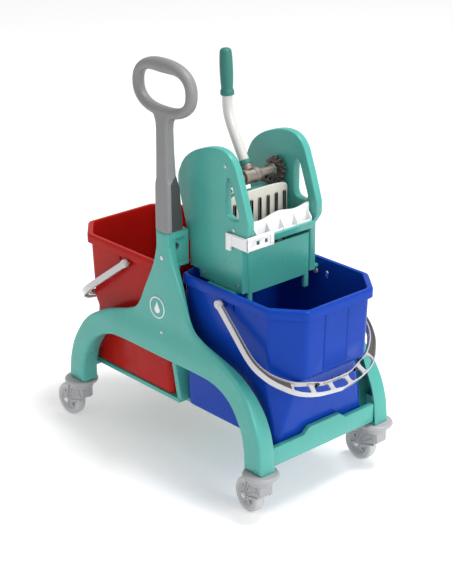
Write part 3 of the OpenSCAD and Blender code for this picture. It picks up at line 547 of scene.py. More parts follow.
def buildScrewHeads():
    tree, inside, out = newGroup("screwHeads", "GeometryNodeTree", {
        "Points": "Geometry", "Head Radius": 0.004, "Head Height": 0.002, "Facing": (0, 0, 0),
        "Finish": "Material"}, {"Geometry": "Geometry"})
    head = addNode(tree, "GeometryNodeMeshCylinder", Vertices=24)
    wire(tree, (inside, "Head Radius", head, "Radius"), (inside, "Head Height", head, "Depth"))
    rim = addNode(tree, "GeometryNodeExtrudeMesh", Offset_Scale=0.0003, Individual=False)
    wire(tree, (head, "Mesh", rim, "Mesh"), (head, "Top", rim, "Selection"))
    shrink = addNode(tree, "GeometryNodeScaleElements", Scale=0.82)
    wire(tree, (rim, "Mesh", shrink, "Geometry"), (rim, "Top", shrink, "Selection"))
    inner = addNode(tree, "GeometryNodeExtrudeMesh", Offset_Scale=0.0, Individual=False)
    wire(tree, (shrink, "Geometry", inner, "Mesh"), (rim, "Top", inner, "Selection"))
    smaller = addNode(tree, "GeometryNodeScaleElements", Scale=0.5)
    wire(tree, (inner, "Mesh", smaller, "Geometry"), (inner, "Top", smaller, "Selection"))
    recess = addNode(tree, "GeometryNodeExtrudeMesh", Offset_Scale=-0.0012, Individual=False)
    wire(tree, (smaller, "Geometry", recess, "Mesh"), (inner, "Top", recess, "Selection"))
    placed = tree.nodes.new("GeometryNodeInstanceOnPoints")
    wire(tree, (inside, "Points", placed, "Points"), (recess, "Mesh", placed, "Instance"),
         (inside, "Facing", placed, "Rotation"))
    endTree(tree, placed.outputs["Instances"], inside, out)
    return tree


barRow = buildBarRow()
ribFan = buildFan()
screwHeads = buildScrewHeads()
print("node trees ready")

# ---- side panels ----

panel = {"wall": 4.0, "round": 6.5, "steps": 7, "rows": 11, "lip": 1.2}
panelOuterFace = [(106, 187), (126, 187), (196, 185), (279, 180), (341, 168.6), (389, 167), (600, 167)]
panelInnerEdge = [(106, 147), (209, 147), (279, 154), (327, 162), (359, 159), (459, 148), (600, 139)]
columnSide = [(17.5, 536)] + smoothCurve(
    [(18.5, 512), (32.5, 460), (62.5, 400), (87.5, 351), (119.5, 331), (200, 303), (262, 264), (302, 201),
     (316, 154)],
    panel["steps"]) + [(320, 106)]
archSide = [(268, 106)] + smoothCurve([(267, 141), (254, 187), (225, 228), (184, 251), (134, 259), (0, 259)],
                                      panel["steps"])
mirroredX = lambda points: [(-x, z) for x, z in points]
panelOutline = mirroredX(columnSide) + mirroredX(archSide[:-1]) + archSide[::-1] + columnSide[::-1]


def buildPanel(side, sign):
    bm = bmesh.new()
    edge, wall = panel["lip"], panel["wall"]
    flange = [(0, 100 + edge), (0.3 * edge, 100 + 0.3 * edge), (edge, 100), (wall - edge, 100),
              (wall - 0.3 * edge, 100 + 0.3 * edge), (wall, 100 + edge)]
    section = roundOver(panel["round"], 4) + flange + [(wall, wall)]
    loops = [addLoop(bm, inset(panelOutline, d) if d else panelOutline, code) for d, code in section]
    capStack(bm, loops)
    for z in range(112, 534, panel["rows"]):
        bmesh.ops.bisect_plane(bm, geom=bm.verts[:] + bm.edges[:] + bm.faces[:], plane_co=(0, 0, z),
                               plane_no=(0, 0, 1))
    for v in bm.verts:
        code, z = v.co.y, v.co.z
        v.co.y = sign * (between(panelOuterFace, z) - code if code < 50
                         else between(panelInnerEdge, z) + code - 100)
    for end in (-1, 1):
        for low, high in (((269, 148, 106.4), (319, 184, 110.5)), ((272, 166, 110), (314, 170, 158))):
            x = sorted((end * low[0], end * high[0]))
            y = sorted((sign * low[1], sign * high[1]))
            addBox(bm, (x[0], y[0], low[2]), (x[1], y[1], high[2]))
        addRod(bm, (end * 300, sign * 168, 107), (end * 300, sign * 168, 164), 11, 24)
    return finishPiece(side + "Panel", bm, "chassis", "green_plastic", (side + "_side_panel",), 0, sharp=38)


def buildSocket(side, sign):
    bm = bmesh.new()
    addBox(bm, (-20, -165, 459), (20, -111, 536))
    piece = finishPiece(side + "ColumnSocket", bm, "chassis", "green_plastic", (), 2.2, 3)
    carve(piece, addBox, (-15, -162, 450), (15, -128, 545))
    for end in (-1, 1):
        carve(piece, slab, [(end * 18, 470), (end * 24, 470), (end * 24, 522), (end * 18, 522)], -155, -117,
              1.0)
    carve(piece, addRod, (-40, -143, 505), (40, -143, 505), 8, 40)
    if sign > 0:
        for v in piece.data.vertices:
            v.co.y = -v.co.y
        piece.data.flip_normals()
    setSmooth(piece.data, 30)
    return piece


for side, sign in (("near", -1), ("far", 1)):
    buildPanel(side, sign)
    buildSocket(side, sign)
print("side panels")

# ---- generic round mark on the near panel ----

mark = {"x": -18, "z": 364, "outer": 24, "inner": 21.6, "face": -168.2, "proud": 0.9,
        "dropTop": 14.5, "dropLow": 12.5, "dropRadius": 8.6}


def ringPoints(radius, count=48):
    return [(mark["x"] + radius * math.cos(2 * math.pi * i / count),
             mark["z"] + radius * math.sin(2 * math.pi * i / count))
            for i in range(count)]


def buildMark():
    bm = bmesh.new()
    front = mark["face"] - mark["proud"]
    slab(bm, ringPoints(mark["outer"]), front, mark["face"] + 1.5, 0.3, [ringPoints(mark["inner"])], 2)
    tip, low, size = mark["z"] + mark["dropTop"], mark["z"] - mark["dropLow"], mark["dropRadius"]
    half = smoothCurve([(0, tip), (0.16 * size, tip - 0.5 * size), (0.72 * size, low + 1.55 * size),
                        (size, low + size),
                        (0.71 * size, low + 0.29 * size), (0, low)], 6)
    drop = [(mark["x"] - x, z) for x, z in half] + [(mark["x"] + x, z) for x, z in half[-2:0:-1]]
    slab(bm, drop, front, mark["face"] + 1.5, 0.3, (), 2)
    finishPiece("roundMark", bm, "chassis", "white_plastic", (), 0)


buildMark()

# ---- buckets ----

bucket = {"lipIn": 4.0, "lipOut": 352.0, "lipHalf": 142.0,
          "wall": 3.0, "cornerRound": 13.0, "grooveDepth": 1.8}
bucketShape = [  # height, inner end, outer end, half width, outer corner cut, inner corner cut
    (143.4, 9.5, 298, 126, (5, 5), (16, 80)), (278, 10, 314.5, 130.8, (41, 49), (17, 90)),
    (283.5, 10, 319, 131.2, (44, 50), (17, 90)), (294, 10.1, 337, 131.8, (58, 48), (17, 90)),
    (299.5, 10.2, 340.4, 132, (60, 48), (17, 90)), (431.5, 10.8, 345, 134.5, (60, 48), (17, 90)),
    (449, 11, 345, 135, (60, 48), (17, 90))]


def shapeAt(z):
    for low, high in zip(bucketShape, bucketShape[1:]):
        if z <= high[0]:
            f = max(0, (z - low[0]) / (high[0] - low[0]))
            mixTwo = lambda a, b: a + (b - a) * f
            return (mixTwo(low[1], high[1]), mixTwo(low[2], high[2]), mixTwo(low[3], high[3]),
                    tuple(map(mixTwo, low[4], high[4])), tuple(map(mixTwo, low[5], high[5])))
    return bucketShape[-1][1:]


def softPolygon(corners, radius, steps=5):
    result = []
    n = len(corners)
    for i in range(n):
        p, before, after = Vector(corners[i]), Vector(corners[i - 1]), Vector(corners[(i + 1) % n])
        a, b = before - p, after - p
        bend = math.pi - a.angle(b)
        reach = min(radius * math.tan(bend / 2) * 1.4, 0.46 * a.length, 0.46 * b.length)
        start, stop = p + a.normalized() * reach, p + b.normalized() * reach
        for k in range(steps + 1):
            t = k / steps
            result.append(start * (1 - t) ** 2 + p * 2 * t * (1 - t) + stop * t * t)
    return result


def bucketRing(z, size, shrink, grooves=0.0, radius=None):
    inner, outer, half, cut, back = size
    inner, outer, half = inner + shrink, outer - shrink, half - shrink
    corners = [(inner + back[0], -half), (outer - cut[0], -half), (outer, -half + cut[1]),
               (outer, half - cut[1]),
               (outer - cut[0], half), (inner + back[0], half), (inner, half - back[1]),
               (inner, -half + back[1])]
    flat = softPolygon(corners, radius or bucket["cornerRound"])
    ring = []
    endStart = max(i for i, p in enumerate(flat) if p.y < 0 and p.x > outer - 0.01)
    for i, p in enumerate(flat):
        ring.append((p.x, p.y, z))
        if i == endStart:
            for y, d in ((-41, 0), (-39.5, 1), (-35.5, 1), (-34, 0), (27, 0), (28.2, -0.7), (31.8, -0.7),
                         (33, 0)):
                ring.append((outer - d * grooves, y, z))
    return ring


def buildBucket(name, mirror):
    bm = bmesh.new()
    lip = (bucket["lipIn"], bucket["lipOut"], bucket["lipHalf"], (62, 50), (26, 100))
    rings = []
    for z, shrink in ((143.4, 6), (144.3, 2.4), (146.4, 0.5), (149.5, 0)):
        rings.append(bucketRing(z, shapeAt(z), shrink))
    for z, groove in ((190, 0), (232, 0), (262, 0), (278, 0), (283.5, 0), (288, 0), (294, 0), (299.5, 0),
                      (303, 0), (306, 1),
                      (340, 1), (380, 1), (420, 1), (426.8, 1)):
        rings.append(bucketRing(z, shapeAt(z), 0, groove * bucket["grooveDepth"]))
    for z, shrink in ((427, 1.2), (428.2, 0), (438, 0), (445.6, 0), (447.4, 0.9), (448, 2.6)):
        rings.append(bucketRing(z, lip, shrink))
    for z, shrink in ((448, 1.6), (447.5, 2.7), (446, 3)):
        rings.append(bucketRing(z, shapeAt(z), shrink))
    for z in (430, 380, 330, 303, 299.5, 294, 288, 283.5, 278, 262, 232, 190, 155):
        rings.append(bucketRing(z, shapeAt(z), bucket["wall"]))
    for z, shrink in ((149.6, 4), (147.4, 8)):
        rings.append(bucketRing(z, shapeAt(z), shrink))
    loftRings(bm, rings)
    for sign in (-1, 1):
        addRod(bm, (152, sign * 131, 418), (152, sign * 136.6, 418), 10.5, 40)
        addRod(bm, (152, sign * 134, 418), (152, sign * 138.5, 418), 6.2, 32)
        for x in (90, 134):
            y = sorted((sign * 126, sign * 133.5))
            addBox(bm, (x - 8, y[0], 417), (x + 8, y[1], 426.9))
    if mirror:
        for v in bm.verts:
            v.co.x = -v.co.x
    piece = finishPiece(name + "Look", bm, name, slotOf[name], (name,), 0, sharp=44)
    flip = -1 if mirror else 1
    for sign in (-1, 1):
        slot = [(flip * (182 + 4 * math.cos(a * math.pi / 8)),
                 411 + 4 * math.sin(a * math.pi / 8)) for a in range(8, 17)]
        slot += [(flip * 186, 424), (flip * 178, 424)]
        carve(piece, slab, slot, min(sign * 120, sign * 146), max(sign * 120, sign * 146), 0.2, (), 1)
    setSmooth(piece.data, 44)
    return piece


buildBucket("blue_bucket", False)
buildBucket("red_bucket", True)
print("buckets")

# ---- bails ----

# The last entry gives how far out from the middle the painted shade in the channel begins
bail = {"pivotX": 152, "pivotZ": 418, "tilt": math.radians(37), "half": 7.0, "flange": 2.6, "web": 2.0,
        "windows": 5, "windowPitch": 47.6, "windowHalf": 18.5, "paintedShadeFrom": 112}
bailOuter = smoothCurve([(0, 151), (60, 158), (140, 166), (186, 154), (218, 131), (242, 103), (258, 61),
                         (266, 0)], 10)
bailInner = smoothCurve([(0, 143), (60, 149), (134, 156), (173, 146), (199, 124), (217, 98), (226, 71),
                         (237, 39), (239, 0)], 10)


def bailPlace(mirror):
    flip = -1 if mirror else 1
    c, s = math.cos(bail["tilt"]), math.sin(bail["tilt"])
    return Matrix(((flip * c, 0, flip * s, flip * bail["pivotX"]), (0, 1, 0, 0), (-s, 0, c, bail["pivotZ"]),
                   (0, 0, 0, 1)))


def buildBail(name, mirror):
    place = bailPlace(mirror)
    outer, inner = evenly(bailOuter, 70), evenly(bailInner, 70)
    outer = [(u, -y) for u, y in outer] + [(u, y) for u, y in outer[-2::-1]]
    inner = [(u, -y) for u, y in inner] + [(u, y) for u, y in inner[-2::-1]]
    h, f, w = bail["half"], bail["flange"], bail["web"]
    rings = []
    for o, i in zip(outer, inner):
        o, i = Vector(o), Vector(i)
        e = (o - i).normalized()
        stations = [(o - e * 0.6, h), (o, h - 0.6), (o, 0.6 - h), (o - e * 0.6, -h), (o - e * f, -h),
                    (o - e * f, -w),
                    (i + e * f, -w), (i + e * f, -h), (i + e * 0.6, -h), (i, 0.6 - h),
                    (i, h - 0.6), (i + e * 0.6, h),
                    (i + e * f, h), (i + e * f, w), (o - e * f, w), (o - e * f, h)]
        rings.append([(p.x, p.y, z) for p, z in stations])
    bm = bmesh.new()
    loftRings(bm, rings)
    piece = finishPiece(name + "Look", bm, name, slotOf[name], (name,), 0, sharp=30)
    middles = [(Vector(o) + Vector(i)) / 2 for o, i in zip(outer, inner)]
    reachAt = [0.0]
    for before, after in zip(middles, middles[1:]):
        reachAt.append(reachAt[-1] + (after - before).length)
    for k in range(bail["windows"]):
        centre = reachAt[-1] / 2 + (k - (bail["windows"] - 1) / 2) * bail["windowPitch"]
        lower, upper = [], []
        for n in range(-8, 9):
            at = centre + bail["windowHalf"] * n / 8
            j = max(q for q in range(len(reachAt) - 1) if reachAt[q] <= at)
            t = (at - reachAt[j]) / (reachAt[j + 1] - reachAt[j])
            o, i = (Vector(side[j]).lerp(Vector(side[j + 1]), t) for side in (outer, inner))
            e = (o - i).normalized()
            edge = f - 0.4 + (1 - math.sqrt(max(0, 1 - (max(0, abs(n) - 4) / 4) ** 2))) * 6.0
            lower.append(o - e * edge)
            upper.append(i + e * edge)
        outline = lower + upper[::-1]
        carve(piece, loftRings, [[(p.x, p.y, z) for p in outline] for z in (-20, 20)])
    # Web faces in the channel, beyond that distance from the middle, get the dark second material: painted shade
    # and reflection
    piece.data.materials.append(bailChannelPaintedShade)
    for polygon in piece.data.polygons:
        paintedShadeFace = all(abs(piece.data.vertices[v].co.z) < (w + 0.3) * mm for v in polygon.vertices)
        if paintedShadeFace and abs(polygon.center.y) > bail["paintedShadeFrom"] * mm:
            polygon.material_index = 1
    bm = bmesh.new()
    bm.from_mesh(piece.data)
    bmesh.ops.scale(bm, vec=(1 / mm,) * 3, verts=bm.verts)
    addGrown(bm, growMesh(barRow, {"Count": 6, "Pitch": (0, 0.022, 0), "Bar Size": (0.0045, 0.0075, 0.0075),
                                   "Tilt": 0.0,
                                   "Finish": finishes[slotOf[name]]}), Matrix.Translation((237.8, 0, 2.5)))
    for sign in (-1, 1):
        addRod(bm, (0, sign * 143.2, 0), (0, sign * 151.4, 0), 9, 40)
        addRod(bm, (0, sign * 149, 0), (0, sign * 152.6, 0), 5, 32)
        addRod(bm, (0, sign * 129, 0), (0, sign * 145, 0), 3.95, 24)
        addRod(bm, (0, sign * 125.5, 0), (0, sign * 129, 0), 6, 24)
    bmesh.ops.transform(bm, matrix=place, verts=bm.verts)
    bmesh.ops.scale(bm, vec=(mm,) * 3, verts=bm.verts)
    bmesh.ops.recalc_face_normals(bm, faces=bm.faces)
    bm.to_mesh(piece.data)
    bm.free()
    setSmooth(piece.data, 32)
    return piece


buildBail("blue_bail", False)
buildBail("red_bail", True)
print("bails")

# ---- push handle ----

handle = {"y": -150, "z": 835.4, "a": 82.0, "b": 49.5, "bar": 10.5, "depth": 13.0, "palm": 9.0, "foot": 2.0,
          "corner": 2.35,
          "voxel": 0.0017}
neck = [  # height, half width, near face, far face
    (450, 14.4, -161.6, -128.4), (534, 14.4, -161.6, -128.4), (536.6, 22.2, -167, -124),
    (560, 22.2, -166.8, -125), (628, 22, -166.2, -131), (640, 21.2, -166, -133), (648, 18.6, -165.6, -136.5),
    (700, 17.4, -165, -138.5), (752, 17, -164.4, -139.5),
    (766, 18.6, -164, -139), (778, 24, -163.6, -138), (787, 32, -163.2, -137.2), (793, 38, -163, -137)]


def roundedBox(half, low, high, z, radius=5.5, steps=4):
    corners = [(-half, low), (half, low), (half, high), (-half, high)]
    return [(p.x, p.y, z) for p in softPolygon(corners, radius, steps)]


def buildHandle():
    bm = bmesh.new()
    rings = []
    count = 72
    rounded = lambda value: math.copysign(abs(value) ** (2 / handle["corner"]), value)
    for i in range(count):
        t = 2 * math.pi * i / count
        out = Vector((handle["b"] * rounded(math.cos(t)), handle["a"] * rounded(math.sin(t)))).normalized()
        extra = handle["palm"] * max(0, math.sin(t)) ** 6 + handle["foot"] * max(0, -math.sin(t)) ** 6
        middle = Vector((handle["a"] * rounded(math.cos(t)),
                         handle["b"] * rounded(math.sin(t)))) - out * extra / 2
        ring = []
        for j in range(24):
            u = 2 * math.pi * j / 24
            p = middle + out * (handle["bar"] + extra / 2) * math.cos(u)
            ring.append((p.x, handle["y"] + handle["depth"] * rounded(math.sin(u)), handle["z"] + p.y))
        rings.append(ring)
    loops = loftRings(bm, rings, False, False)
    stitch(bm, loops[-1], loops[0])
    sections = []
    for a, b in zip(neck[2:], neck[3:]):
        for k in range(3):
            sections.append([a[n] + (b[n] - a[n]) * k / 3 for n in range(4)])
    sections.append(neck[-1])
    loftRings(bm, [roundedBox(half, low, high, z) for z, half, low, high in sections])
    tang = [roundedBox(half, low, high, z, 2) for z, half, low, high in neck[:2]]
    tang += [roundedBox(14.4, -161.6, -131.4, 560, 2)]
    loftRings(bm, tang)
    piece = finishPiece("pushHandle", bm, "chassis", "grey_plastic", ("push_handle",), 0)
    remesh = piece.modifiers.new("remesh", "REMESH")
    remesh.mode = "VOXEL"
    remesh.voxel_size = handle["voxel"]
    remesh.use_smooth_shade = True
    smooth = piece.modifiers.new("smooth", "SMOOTH")
    smooth.iterations = 7
    smooth.factor = 0.5
    bake(piece)
    recess = [(-157, 530), (-157, 641), (-150, 652), (-138, 663), (-110, 672), (-110, 530)]
    for end in (-1, 1):
        carve(piece, loftRings, [[(x, y, z) for y, z in recess] for x in sorted((end * 19.4, end * 30))])
    carve(piece, addRod, (-40, -143, 505), (40, -143, 505), 8, 40)
    setSmooth(piece.data, 40)
    # A thin dark inlay on the recess floor on both sides: painted shadow on the handle's sides, not a part of
    # its own colour
    bm = bmesh.new()
    floor = [(-155.4, 538), (-155.4, 638), (-148, 649), (-140.5, 655), (-138, 645), (-132.5, 630),
             (-127, 560), (-126, 538)]
    for end in (-1, 1):
        loftRings(bm, [[(x, y, z) for y, z in floor] for x in sorted((end * 17.6, end * 19.9))])
    finishPiece("handlePaintedShadow", bm, "chassis", "grey_plastic", (), 0.4, material=paintedShadowGrey)


buildHandle()
print("push handle")

# ---- wringer ----

plate = {"out": 104.0, "in": 86.0, "round": 3.2}
plateOutline = [(44, 434.4), (44, 451), (14, 451)] + smoothCurve(
    [(14, 503), (-9, 579), (-21, 632), (-12, 663), (5, 686), (37, 707), (83, 722), (119, 723), (142, 712),
     (156, 694)], 7) + [
    (174, 647), (191.4, 595), (192.9, 588), (192.9, 566), (190, 558), (175, 537), (175, 434.4)]
handHole = smoothCurve([(126, 639), (128, 661), (134, 671), (142, 661)], 5) + smoothCurve(
    [(165, 599), (163, 589), (151, 586), (132, 590), (126, 601)], 5)
plateScrews = [(56, 448.4), (163, 448.4), (151, 565), (127, 693)]


def buildPlate(side, sign):
    bm = bmesh.new()
    slab(bm, plateOutline, *sorted((sign * plate["out"], sign * plate["in"])), plate["round"], [handHole], 4)
    addRod(bm, (85, sign * 97, 640), (85, sign * 84.2, 640), 15, 40)
    for x, z in ((110, 470), (110, 505)):
        addRod(bm, (x, sign * 103, z), (x, sign * 105.2, z), 4.5, 24)
    piece = finishPiece("wringer" + side.capitalize() + "Plate", bm, "wringer", "green_plastic",
                        (f"wringer_{side}_plate",), 0, sharp=36)
    carve(piece, addRod, (85, sign * 96, 640), (85, sign * 60, 640), 9.07, 40)
    setSmooth(piece.data, 36)


buildPlate("near", -1)
buildPlate("far", 1)


def buildScrews(name, points, facings, radius, body, replaced):
    bm = bmesh.new()
    for sign in (-1, 1):
        spots = [(x * mm, sign * y * mm, z * mm) for x, y, z in points if y]
        if sign in facings:
            addGrown(bm, growMesh(screwHeads, {"Head Radius": radius * mm, "Head Height": 0.0022,
                                               "Finish": finishes["steel"],
                                               "Facing": (math.radians(90) * -sign, 0, 0)}, spots))
    finishPiece(name, bm, body, "steel", replaced, 0, sharp=30)


buildScrews("wringerScrewHeads", [(x, 104.2, z) for x, z in plateScrews], (-1, 1), 3.6, "wringer",
            ("wringer_screws",))
buildScrews("panelScrewHeads", [(0, 172.4, 312)], (-1, 1), 4.4, "chassis", ("side_panel_screws",))
buildScrews("handleScrewHeads", [(0, 167.0, 480)], (-1,), 4.4, "chassis", ("handle_screws",))

for node, width in (("wringer_front_wall", 1.2), ("wringer_back_wall", 1.0), ("wringer_seat_frame", 1.0),
                    ("wringer_drain_grid", 0.5),
                    ("wringer_lip", 1.6), ("rack_guide", 0.8), ("front_end_bar", 2.0), ("rear_end_bar", 2.0),
                    ("bucket_divider", 1.2), ("base_tray", 0.8), ("press_racks", 0.25),
                    ("lever_pinions", 0.3)):
    copied = softened(node, width)
    if node in ("press_racks", "lever_pinions"):
        copied.data.materials[0] = gearIron
print("wringer body")


def buildGrille():
    bm = bmesh.new()
    wave = [(y, 583 + 3.4 * math.cos(math.radians(y * 3.6)) + 0.03 * y) for y in range(84, -85, -4)]
    outline = [(-84, 545), (84, 545)] + wave
    loops = []
    for x, d in ((166, 1.4), (166.5, 0.4), (168, 0), (172.5, 0), (174, 0.4), (174.5, 1.4)):
        loops.append([bm.verts.new((x, y, z)) for y, z in inset(outline, d)])
    capStack(bm, loops)
    addBox(bm, (166, -84.5, 545), (187, 84.5, 549))
    for k in range(-2, 3):
        y = k * 38 + 2
        for v in addBox(bm, (172, y - 2, 546), (186, y + 2, 577)):
            if v.co.x > 180 and v.co.z > 560:
                v.co.z -= 17
    for k in range(4):
        y = (k - 1.5) * 38 + 2
        addBox(bm, (184.5, y - 15, 546), (186.4, y + 15, 553 + (k % 2) * 2))
    finishPiece("wringerGrille", bm, "wringer", "white_plastic", ("wringer_grille",), 0.7, 2)


def buildClip():
    bm = bmesh.new()
    slab(bm, [(133.4, 533), (133.4, 558), (197, 558), (197, 531)], -108.6, -104.6, 0.8)
    slab(bm, [(133.4, 522), (146, 522), (149, 540), (149, 558), (133.4, 558)], -111.2, -104.6, 1.2)
    addBox(bm, (150, -110.2, 551), (190, -108, 556.5))
    piece = finishPiece("wringerClip", bm, "wringer", "white_plastic", ("wringer_clip",), 0)
    bm = bmesh.new()
    addBox(bm, (193.4, -108.6, 532), (197.2, -36.6, 561))
    front = finishPiece("wringerClipFront", bm, "wringer", "white_plastic", (), 0.9, 2)
    for y in (-80, -58):
        carve(front, addBox, (190, y - 4.2, 541), (200, y + 4.2, 550))
    setSmooth(front.data, 30)
    bm = bmesh.new()
    for low, high in (((197, -108, 555), (198.4, -37, 560)), ((197, -106, 533.5), (198.4, -39, 537)),
                      ((197, -48, 538), (199.5, -40, 556))):
        addBox(bm, low, high)
    finishPiece("wringerClipRidges", bm, "wringer", "white_plastic", (), 0.5, 2)
    return piece


buildGrille()
buildClip()


def buildPressPlate():
    bm = bmesh.new()
    half = 79.6
    top = smoothCurve([(half, 608), (half - 12, 618), (0, 621), (12 - half, 618), (-half, 608)], 6)
    outline = [(-half, 456.4), (half, 456.4)] + top
    loops = [[bm.verts.new((x, y, z)) for y, z in inset(outline, d)] for x, d in
             ((109, 1.2), (109.4, 0.3), (110.4, 0), (112.6, 0), (113.6, 0.3), (114, 1.2))]
    capStack(bm, loops)
    addGrown(bm, growMesh(barRow, {"Count": 7, "Pitch": (0, 0.023, 0), "Bar Size": (0.0055, 0.006, 0.140),
                                   "Tilt": 0.0,
                                   "Finish": finishes["press_beige"]}), Matrix.Translation((115.2, 0, 531)))
    addBox(bm, (100, -79, 494.6), (110, 79, 498))
    finishPiece("pressPlate", bm, "press", "press_beige", ("press_plate",), 0.6, 2)


buildPressPlate()
print("press")

# ---- lever ----

lever = {"tube": 11.0, "gripX": 13.0, "gripTop": 893.0, "gripLength": 96.0, "grip": 14.5}


def buildTube():
    path = smoothCurve([(78.2, 0, 651.5), (62, 0, 679), (44, 0, 711), (28, 0, 741), (19.5, 0, 766),
                        (17.4, 0, 800), (13.4, 0, 884)], 8)
    rings = []
    for i, p in enumerate(path):
        along = (Vector(path[min(i + 1, len(path) - 1)]) - Vector(path[max(i - 1, 0)])).normalized()
        side = Vector((0, 1, 0))
        other = along.cross(side)
        turns = [a * math.pi / 16 for a in range(32)]
        rings.append([tuple(Vector(p) + (side * math.cos(a) + other * math.sin(a)) * lever["tube"])
                      for a in turns])
    bm = bmesh.new()
    loftRings(bm, rings)
    finishPiece("leverTube", bm, "lever", "tube_metal", ("lever_tube",), 0, sharp=40)


def alongMatrix(foot, top):
    turn = Vector((0, 0,
                   1)).rotation_difference((Vector(top) - Vector(foot)).normalized()).to_matrix().to_4x4()
    return Matrix.Translation(foot) @ turn


def buildGrip():
    top = Vector((lever["gripX"], 0, lever["gripTop"]))
    foot = top + (Vector((20, 0, 751)) - top).normalized() * lever["gripLength"]
    r = lever["grip"]
    profile = [(lever["tube"] - 0.5, 0.4), (r - 1, 0), (r - 0.2, 0.8), (r, 3), (r - 0.2, 8), (r - 1.0, 10.5),
               (r - 2.0, 12.5),
               (r - 2.2, 15), (r - 1.6, 24), (r - 0.9, 40), (r - 0.8, 58), (r - 1.2, 74),
               (r - 1.8, 84), (r - 2.6, 90),
               (r - 4.2, 93.4), (r - 7, 95.4), (r - 10.5, 96), (0, 96)]
    profile = smoothCurve(profile, 3)
    profile[-1] = (0, 96)
    bm = bmesh.new()
    spun(bm, profile, 40, alongMatrix(foot, top))
    finishPiece("leverGrip", bm, "lever", "grip_green", ("lever_grip",), 0, sharp=50)


def buildHub():
    bm = bmesh.new()
    across = alongMatrix((85, -20, 640), (85, 20, 640))
    spun(bm, [(9.1, 0), (14.6, 0), (16, 1.4), (16, 12), (15, 13), (15, 27), (16, 28), (16, 38.6), (14.6, 40),
              (9.1, 40), (9.1, 0)], 48, across)
    elbowFoot = Vector((85, 0, 640))
    up = (Vector((20, 0, 751)) - elbowFoot).normalized()
    rise = alongMatrix(elbowFoot + up * 10, elbowFoot + up * 52)
    spun(bm, [(11.1, 3), (13.4, 3), (14.6, 5), (14.6, 11), (13.8, 13), (11.1, 13), (11.1, 3)], 40, rise)
    finishPiece("leverHub", bm, "lever", "hub_metal", ("lever_hub",), 0, sharp=35)
    bm = bmesh.new()
    spun(bm, [(11.15, 14), (13.8, 14), (14.9, 15.5), (14.9, 22), (13.9, 24), (11.15, 24), (11.15, 14)], 40,
         alongMatrix(elbowFoot + up * 10, elbowFoot + up * 52))
    finishPiece("leverCollar", bm, "lever", "grip_green", (), 0, sharp=35)
    bm = bmesh.new()
    addRod(bm, (85, -97, 640), (85, 97, 640), 9, 40)
    for sign in (-1, 1):
        addRod(bm, (85, sign * 24, 640), (85, sign * 27, 640), 12, 36)
        addRod(bm, (85, sign * 61, 640), (85, sign * 67, 640), 12.5, 6)
    finishPiece("leverShaft", bm, "lever", "hub_metal", ("lever_shaft",), 0.5, 2)


buildTube()
buildGrip()
buildHub()
print("lever")

# ---- castors ----

castor = {"x": 300, "y": 168, "turns": (-7, 4, 3, -4)}
castorNames = ["near_front", "near_rear", "far_front", "far_rear"]


def castorPlace(i):
    x = castor["x"] * (1 if i % 2 == 0 else -1)
    y = castor["y"] * (-1 if i < 2 else 1)
    return Matrix.Translation((x, y, 0)) @ Matrix.Rotation(math.radians(castor["turns"][i]), 4, "Z")


def aroundAxle(radius, degrees):
    return [(-38 + radius * math.cos(math.radians(a)), 38 + radius * math.sin(math.radians(a))) for a in degrees]


def buildFork(i, name):
    bm = bmesh.new()
    cheek = [(-29, 31)] + aroundAxle(10, range(-70, -231, -16))
    cheek = cheek[::-1] + [(8, 50), (15, 60), (19, 72), (19.5, 92), (-25, 92)]
    for sign in (-1, 1):
        slab(bm, cheek, *sorted((sign * 12.6, sign * 15.4)), 0.8, (), 2)
        turn = Matrix.Translation((-38, sign * 15.6, 38)) @ Matrix.Rotation(math.radians(90), 4, "X")
        addGrown(bm, growMesh(ribFan, {"Count": 5, "First Angle": math.radians(16),
                                       "Last Angle": math.radians(76), "Hub Radius": 0.0085,
                                       "Rib Size": (0.0430, 0.0026, 0.0030),
                                       "Finish": finishes["castor_grey"]}), turn)
        addRod(bm, (-38, sign * 15, 38), (-38, sign * 17.4, 38), 8.6, 32)
        arc = aroundAxle(57, range(22, 71, 6)) + aroundAxle(53.6, range(70, 21, -6))
        slab(bm, arc, *sorted((sign * 14.4, sign * 17.0)), 0.5, (), 1)
    addBox(bm, (9, -15, 58), (19, 15, 92))
    spun(bm, [(5.2, 81), (24.5, 81), (26, 82.5), (26, 92.4), (25, 93.4), (5.2, 93.4), (5.2, 81)], 48,
         Matrix.Identity(4))
    bmesh.ops.transform(bm, matrix=castorPlace(i), verts=bm.verts)
    finishPiece(name + "_forkLook", bm, name + "_castor", "castor_grey", (name + "_fork",), 0, sharp=32)


def buildDisc(i, name):
    bm = bmesh.new()
    profile = [(6.2, 95), (27, 94), (30, 94.1), (34, 94.6), (36.6, 96), (37.9, 98.6), (38, 100.2),
               (37, 102.6), (34.6, 104.2),
               (31, 104.6), (27, 104.4), (25.6, 104.9), (6.2, 104.9), (6.2, 95)]
    spun(bm, profile, 72, castorPlace(i))
    finishPiece(name + "_discLook", bm, name + "_castor", "castor_grey", (name + "_disc",), 0, sharp=34)


